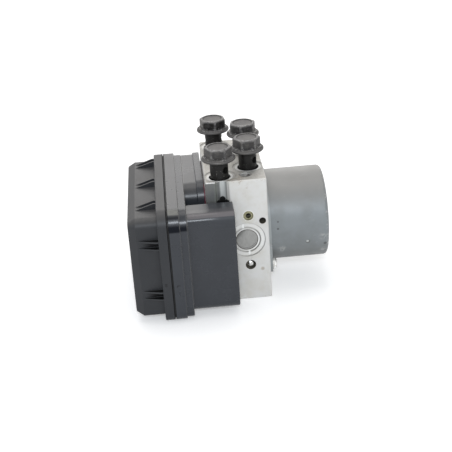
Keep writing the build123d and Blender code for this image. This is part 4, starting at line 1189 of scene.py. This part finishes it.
screwSizes = {
    "start": 18.2,
    "head": 3.5,
    "headHeight": 2.4,
    "ridges": 24,
    "ridgeDepth": 0.16,
    "ridgeInset": 0.03,
    "ridgeHeights": (0.8, 1.6),
    "shank": 1.95,
    "shankEnd": -9.0,
    "socket": 1.55,
    "socketDepth": 1.4,
    "lobes": 6,
    "lobeWidth": 0.62,
    "edge": 0.05,
    "circle": 30.6,
    "turns": (221.5, 20.0),
}


def modelScrew():
    s = screwSizes
    head = lathe("screwHead", [
        (s["head"] - 0.15, 0.0),
        (s["head"], 0.12),
        (s["head"], 0.55),
        (s["head"] - 0.1, 0.68),
        (s["head"] - 0.55, 0.75),
        (s["head"] - 0.62, 1.65),
        (s["head"] - 0.85, 2.1),
        (s["head"] - 1.25, s["headHeight"]),
    ], s["ridges"] * 2)
    select(head)
    bpy.ops.object.mode_set(mode="EDIT")
    bpy.ops.mesh.select_mode(type="FACE")
    bpy.ops.mesh.select_all(action="DESELECT")
    mesh = bmesh.from_edit_mesh(head.data)
    low, high = s["ridgeHeights"]
    for face in mesh.faces:  # every second side of the upper wall stands back
        centre = face.calc_center_median()
        side = abs(face.normal.z) < 0.3 and low * mm < centre.z < high * mm
        step = round(math.atan2(centre.y, centre.x) / (math.pi / s["ridges"]) - 0.5)
        face.select = side and step % 2 == 0
    bmesh.update_edit_mesh(head.data)
    thickness, depth = s["ridgeInset"] * mm, -s["ridgeDepth"] * mm
    bpy.ops.mesh.inset(thickness=thickness, depth=depth, use_individual=True)
    bpy.ops.object.mode_set(mode="OBJECT")
    size = Vector((2 * s["socket"], s["lobeWidth"] * s["socket"], 2 * s["socketDepth"])) * mm
    lift = moveBy(0, 0, s["headHeight"])
    for step in range(s["lobes"] // 2):  # two lobes are one slot across the head
        clearSelection()
        bpy.ops.mesh.primitive_cube_add(size=1.0)
        tool = bpy.context.object
        turn = turnBy(360 * step / s["lobes"], "Z")
        tool.data.transform(lift @ turn @ Matrix.Diagonal((*size, 1.0)))
        cutBy(head, tool)
    softenEdges(head, s["edge"], 1, 40.0)
    shank = rod("screwShank", s["shank"], s["shankEnd"] + 0.02, 0.1)
    return joinPieces(head, shank)


screwLook = {
    "pale": (0.78, 0.78, 0.76),
    "dull": (0.52, 0.51, 0.48),
    "metallic": 0.95,
    "roughness": 0.26,
}


def screwFinish():
    look = screwLook
    f = Finish("screwZinc", look)
    cloud = f.noise(1.2, detail=5.0, roughness=0.7)
    fine = f.noise(0.2)
    f.ground(f.band(cloud), look["pale"], look["dull"])
    f.set("Roughness", look["roughness"] + f.band(fine, 0.3, 0.7) * 0.2)
    f.bump(fine + cloud, 0.02)
    return f


def addScrews():
    s = screwSizes
    finish = screwFinish()
    paint(finish, "controller_screws")
    model = modelScrew()
    for turn in s["turns"]:
        angle = math.radians(turn)
        across = s["circle"] * math.cos(angle)
        height = places["axisHeight"] + s["circle"] * math.sin(angle)
        place = moveBy(s["start"], across, height) @ turnBy(90, "Y")
        piece = placeCopy(model, "motorScrew", place)
        coat(piece, finish)
        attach(piece, "unit")
        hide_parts("motor_screws")
    bpy.data.objects.remove(model)
    print("screws done")


# Springs: a welded copy of each spring that a joint deforms, in its place

def copyNode(name):
    # A welded copy of a CAD node's mesh, in the same place
    piece = bpy.data.objects.new(camelCase(name), nodes[name].data.copy())
    bpy.context.scene.collection.objects.link(piece)
    select(piece)
    bpy.ops.object.mode_set(mode="EDIT")
    bpy.ops.mesh.select_all(action="SELECT")
    bpy.ops.mesh.remove_doubles(threshold=springLook["weld"] * mm)
    bpy.ops.mesh.normals_make_consistent(inside=False)
    bpy.ops.object.mode_set(mode="OBJECT")
    bpy.ops.object.shade_smooth_by_angle(angle=math.radians(springLook["smooth"]))
    return piece


def addSprings():
    for joint in frame["record"]["behaviour"]["joints"]:
        for spring in joint.get("deforming_nodes", []):
            name = spring["node"]
            letter = spring["mode"][-1]
            along = "xyz".index(letter)
            piece = copyNode(name)
            low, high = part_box(name)
            length = high[along] - low[along]
            anchor = [(a + b) / 2 for a, b in zip(low, high)]
            anchor[along] = spring[f"fixed_end_{letter}_m"]
            axis = [float(step == along) for step in range(3)]
            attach(piece, "unit")
            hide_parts(name)
            keep = 1 - joint["range_m"][1] / length
            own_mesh(piece)
    print("springs done")


# Camera

cameraLook = {
    "place": (-31.1, -545.7, 287.0),
    "target": (-6.43, -21.13, 41.2),
    "roll": 3.93,
    "lens": 83.13,
    "sensor": 36.0,
    "clipStart": 10.0,
}


def addCamera():
    place = Vector(cameraLook["place"]) * mm
    forward = Vector(cameraLook["target"]) * mm - place
    bpy.ops.object.camera_add(location=place)
    camera = bpy.context.object
    roll = Matrix.Rotation(math.radians(-cameraLook["roll"]), 3, "Z")
    turned = forward.to_track_quat("-Z", "Y").to_matrix() @ roll
    camera.rotation_euler = turned.to_euler()
    camera.data.lens = cameraLook["lens"]
    camera.data.sensor_width = cameraLook["sensor"]
    camera.data.clip_start = cameraLook["clipStart"] * mm
    bpy.context.scene.camera = camera
    print("camera done")


# Light and floor

white = (1.0, 1.0, 1.0)
black = (0.0, 0.0, 0.0)

floorLook = {
    "size": 6.0,
    "colour": (0.90, 0.90, 0.90),
    "fibre": (0.82, 0.82, 0.82),
    "roughness": 0.9,
    "glow": 0.32,
}

lamps = {  # metres and watts
    "back": {"place": (0.1, 1.05, 0.62), "size": 1.0, "power": 3.4, "tint": (1, 0.975, 0.95)},
    "overhead": {"place": (-0.1, 0.2, 1.05), "size": 0.7, "power": 2.9, "tint": (1, 0.965, 0.94)},
    "front": {"place": (-0.05, -1.02, 0.66), "size": 0.21, "power": 5.6, "tint": (0.87, 0.93, 1)},
    "side": {"place": (-1.0, -0.5, 0.4), "size": 0.5, "power": 0.9, "tint": (0.93, 0.96, 1)},
}

studio = {  # metres
    "lampAim": (0.0, 0.0, 0.04),
    "skyStrength": 0.50,
}


def addLamp(name, look):
    bpy.ops.object.light_add(type="AREA", location=look["place"])
    lamp = bpy.context.object
    lamp.name = name + "Lamp"
    lamp.data.shape = "DISK"
    lamp.data.size = look["size"]
    lamp.data.energy = look["power"]
    lamp.data.color = look["tint"]
    aim = Vector(studio["lampAim"]) - lamp.location
    lamp.rotation_euler = aim.to_track_quat("-Z", "Y").to_euler()


def addFloor():
    clearSelection()
    look = floorLook
    bpy.ops.mesh.primitive_plane_add(size=look["size"], location=(0, 0, 0))
    floor = bpy.context.object
    floor.name = "floor"
    f = Finish("floorPaper", look)
    f.ground(f.band(f.noise(3.0), 0.3, 0.7) * 0.06, look["colour"], look["fibre"])
    f.set("Emission Color", f.mix(f.seen(), black, white))
    f.set("Emission Strength", look["glow"])
    floor.data.materials.append(f.material)


def addSky():
    # White to the camera and in reflections, softer as a light
    world = bpy.data.worlds.new("studioSky")
    sky = Shading(world)
    inputs = {"Color": white, "Strength": studio["skyStrength"]}
    light = sky.node("ShaderNodeBackground", inputs=inputs)
    backdrop = sky.node("ShaderNodeBackground", inputs={"Color": white, "Strength": 1.0})
    either = sky.node("ShaderNodeMixShader", inputs={0: sky.seen(), 1: light, 2: backdrop})
    sky.node("ShaderNodeOutputWorld", inputs={"Surface": either}, output=None)
    bpy.context.scene.world = world


def addStudio():
    addFloor()
    for name, look in lamps.items():
        addLamp(name, look)
    addSky()
    bpy.context.scene.view_settings.view_transform = "Standard"
    print("studio done")


addCamera()
addStudio()
addFinishes()
addBolts()
addScrews()
addSprings()
clearSelection()
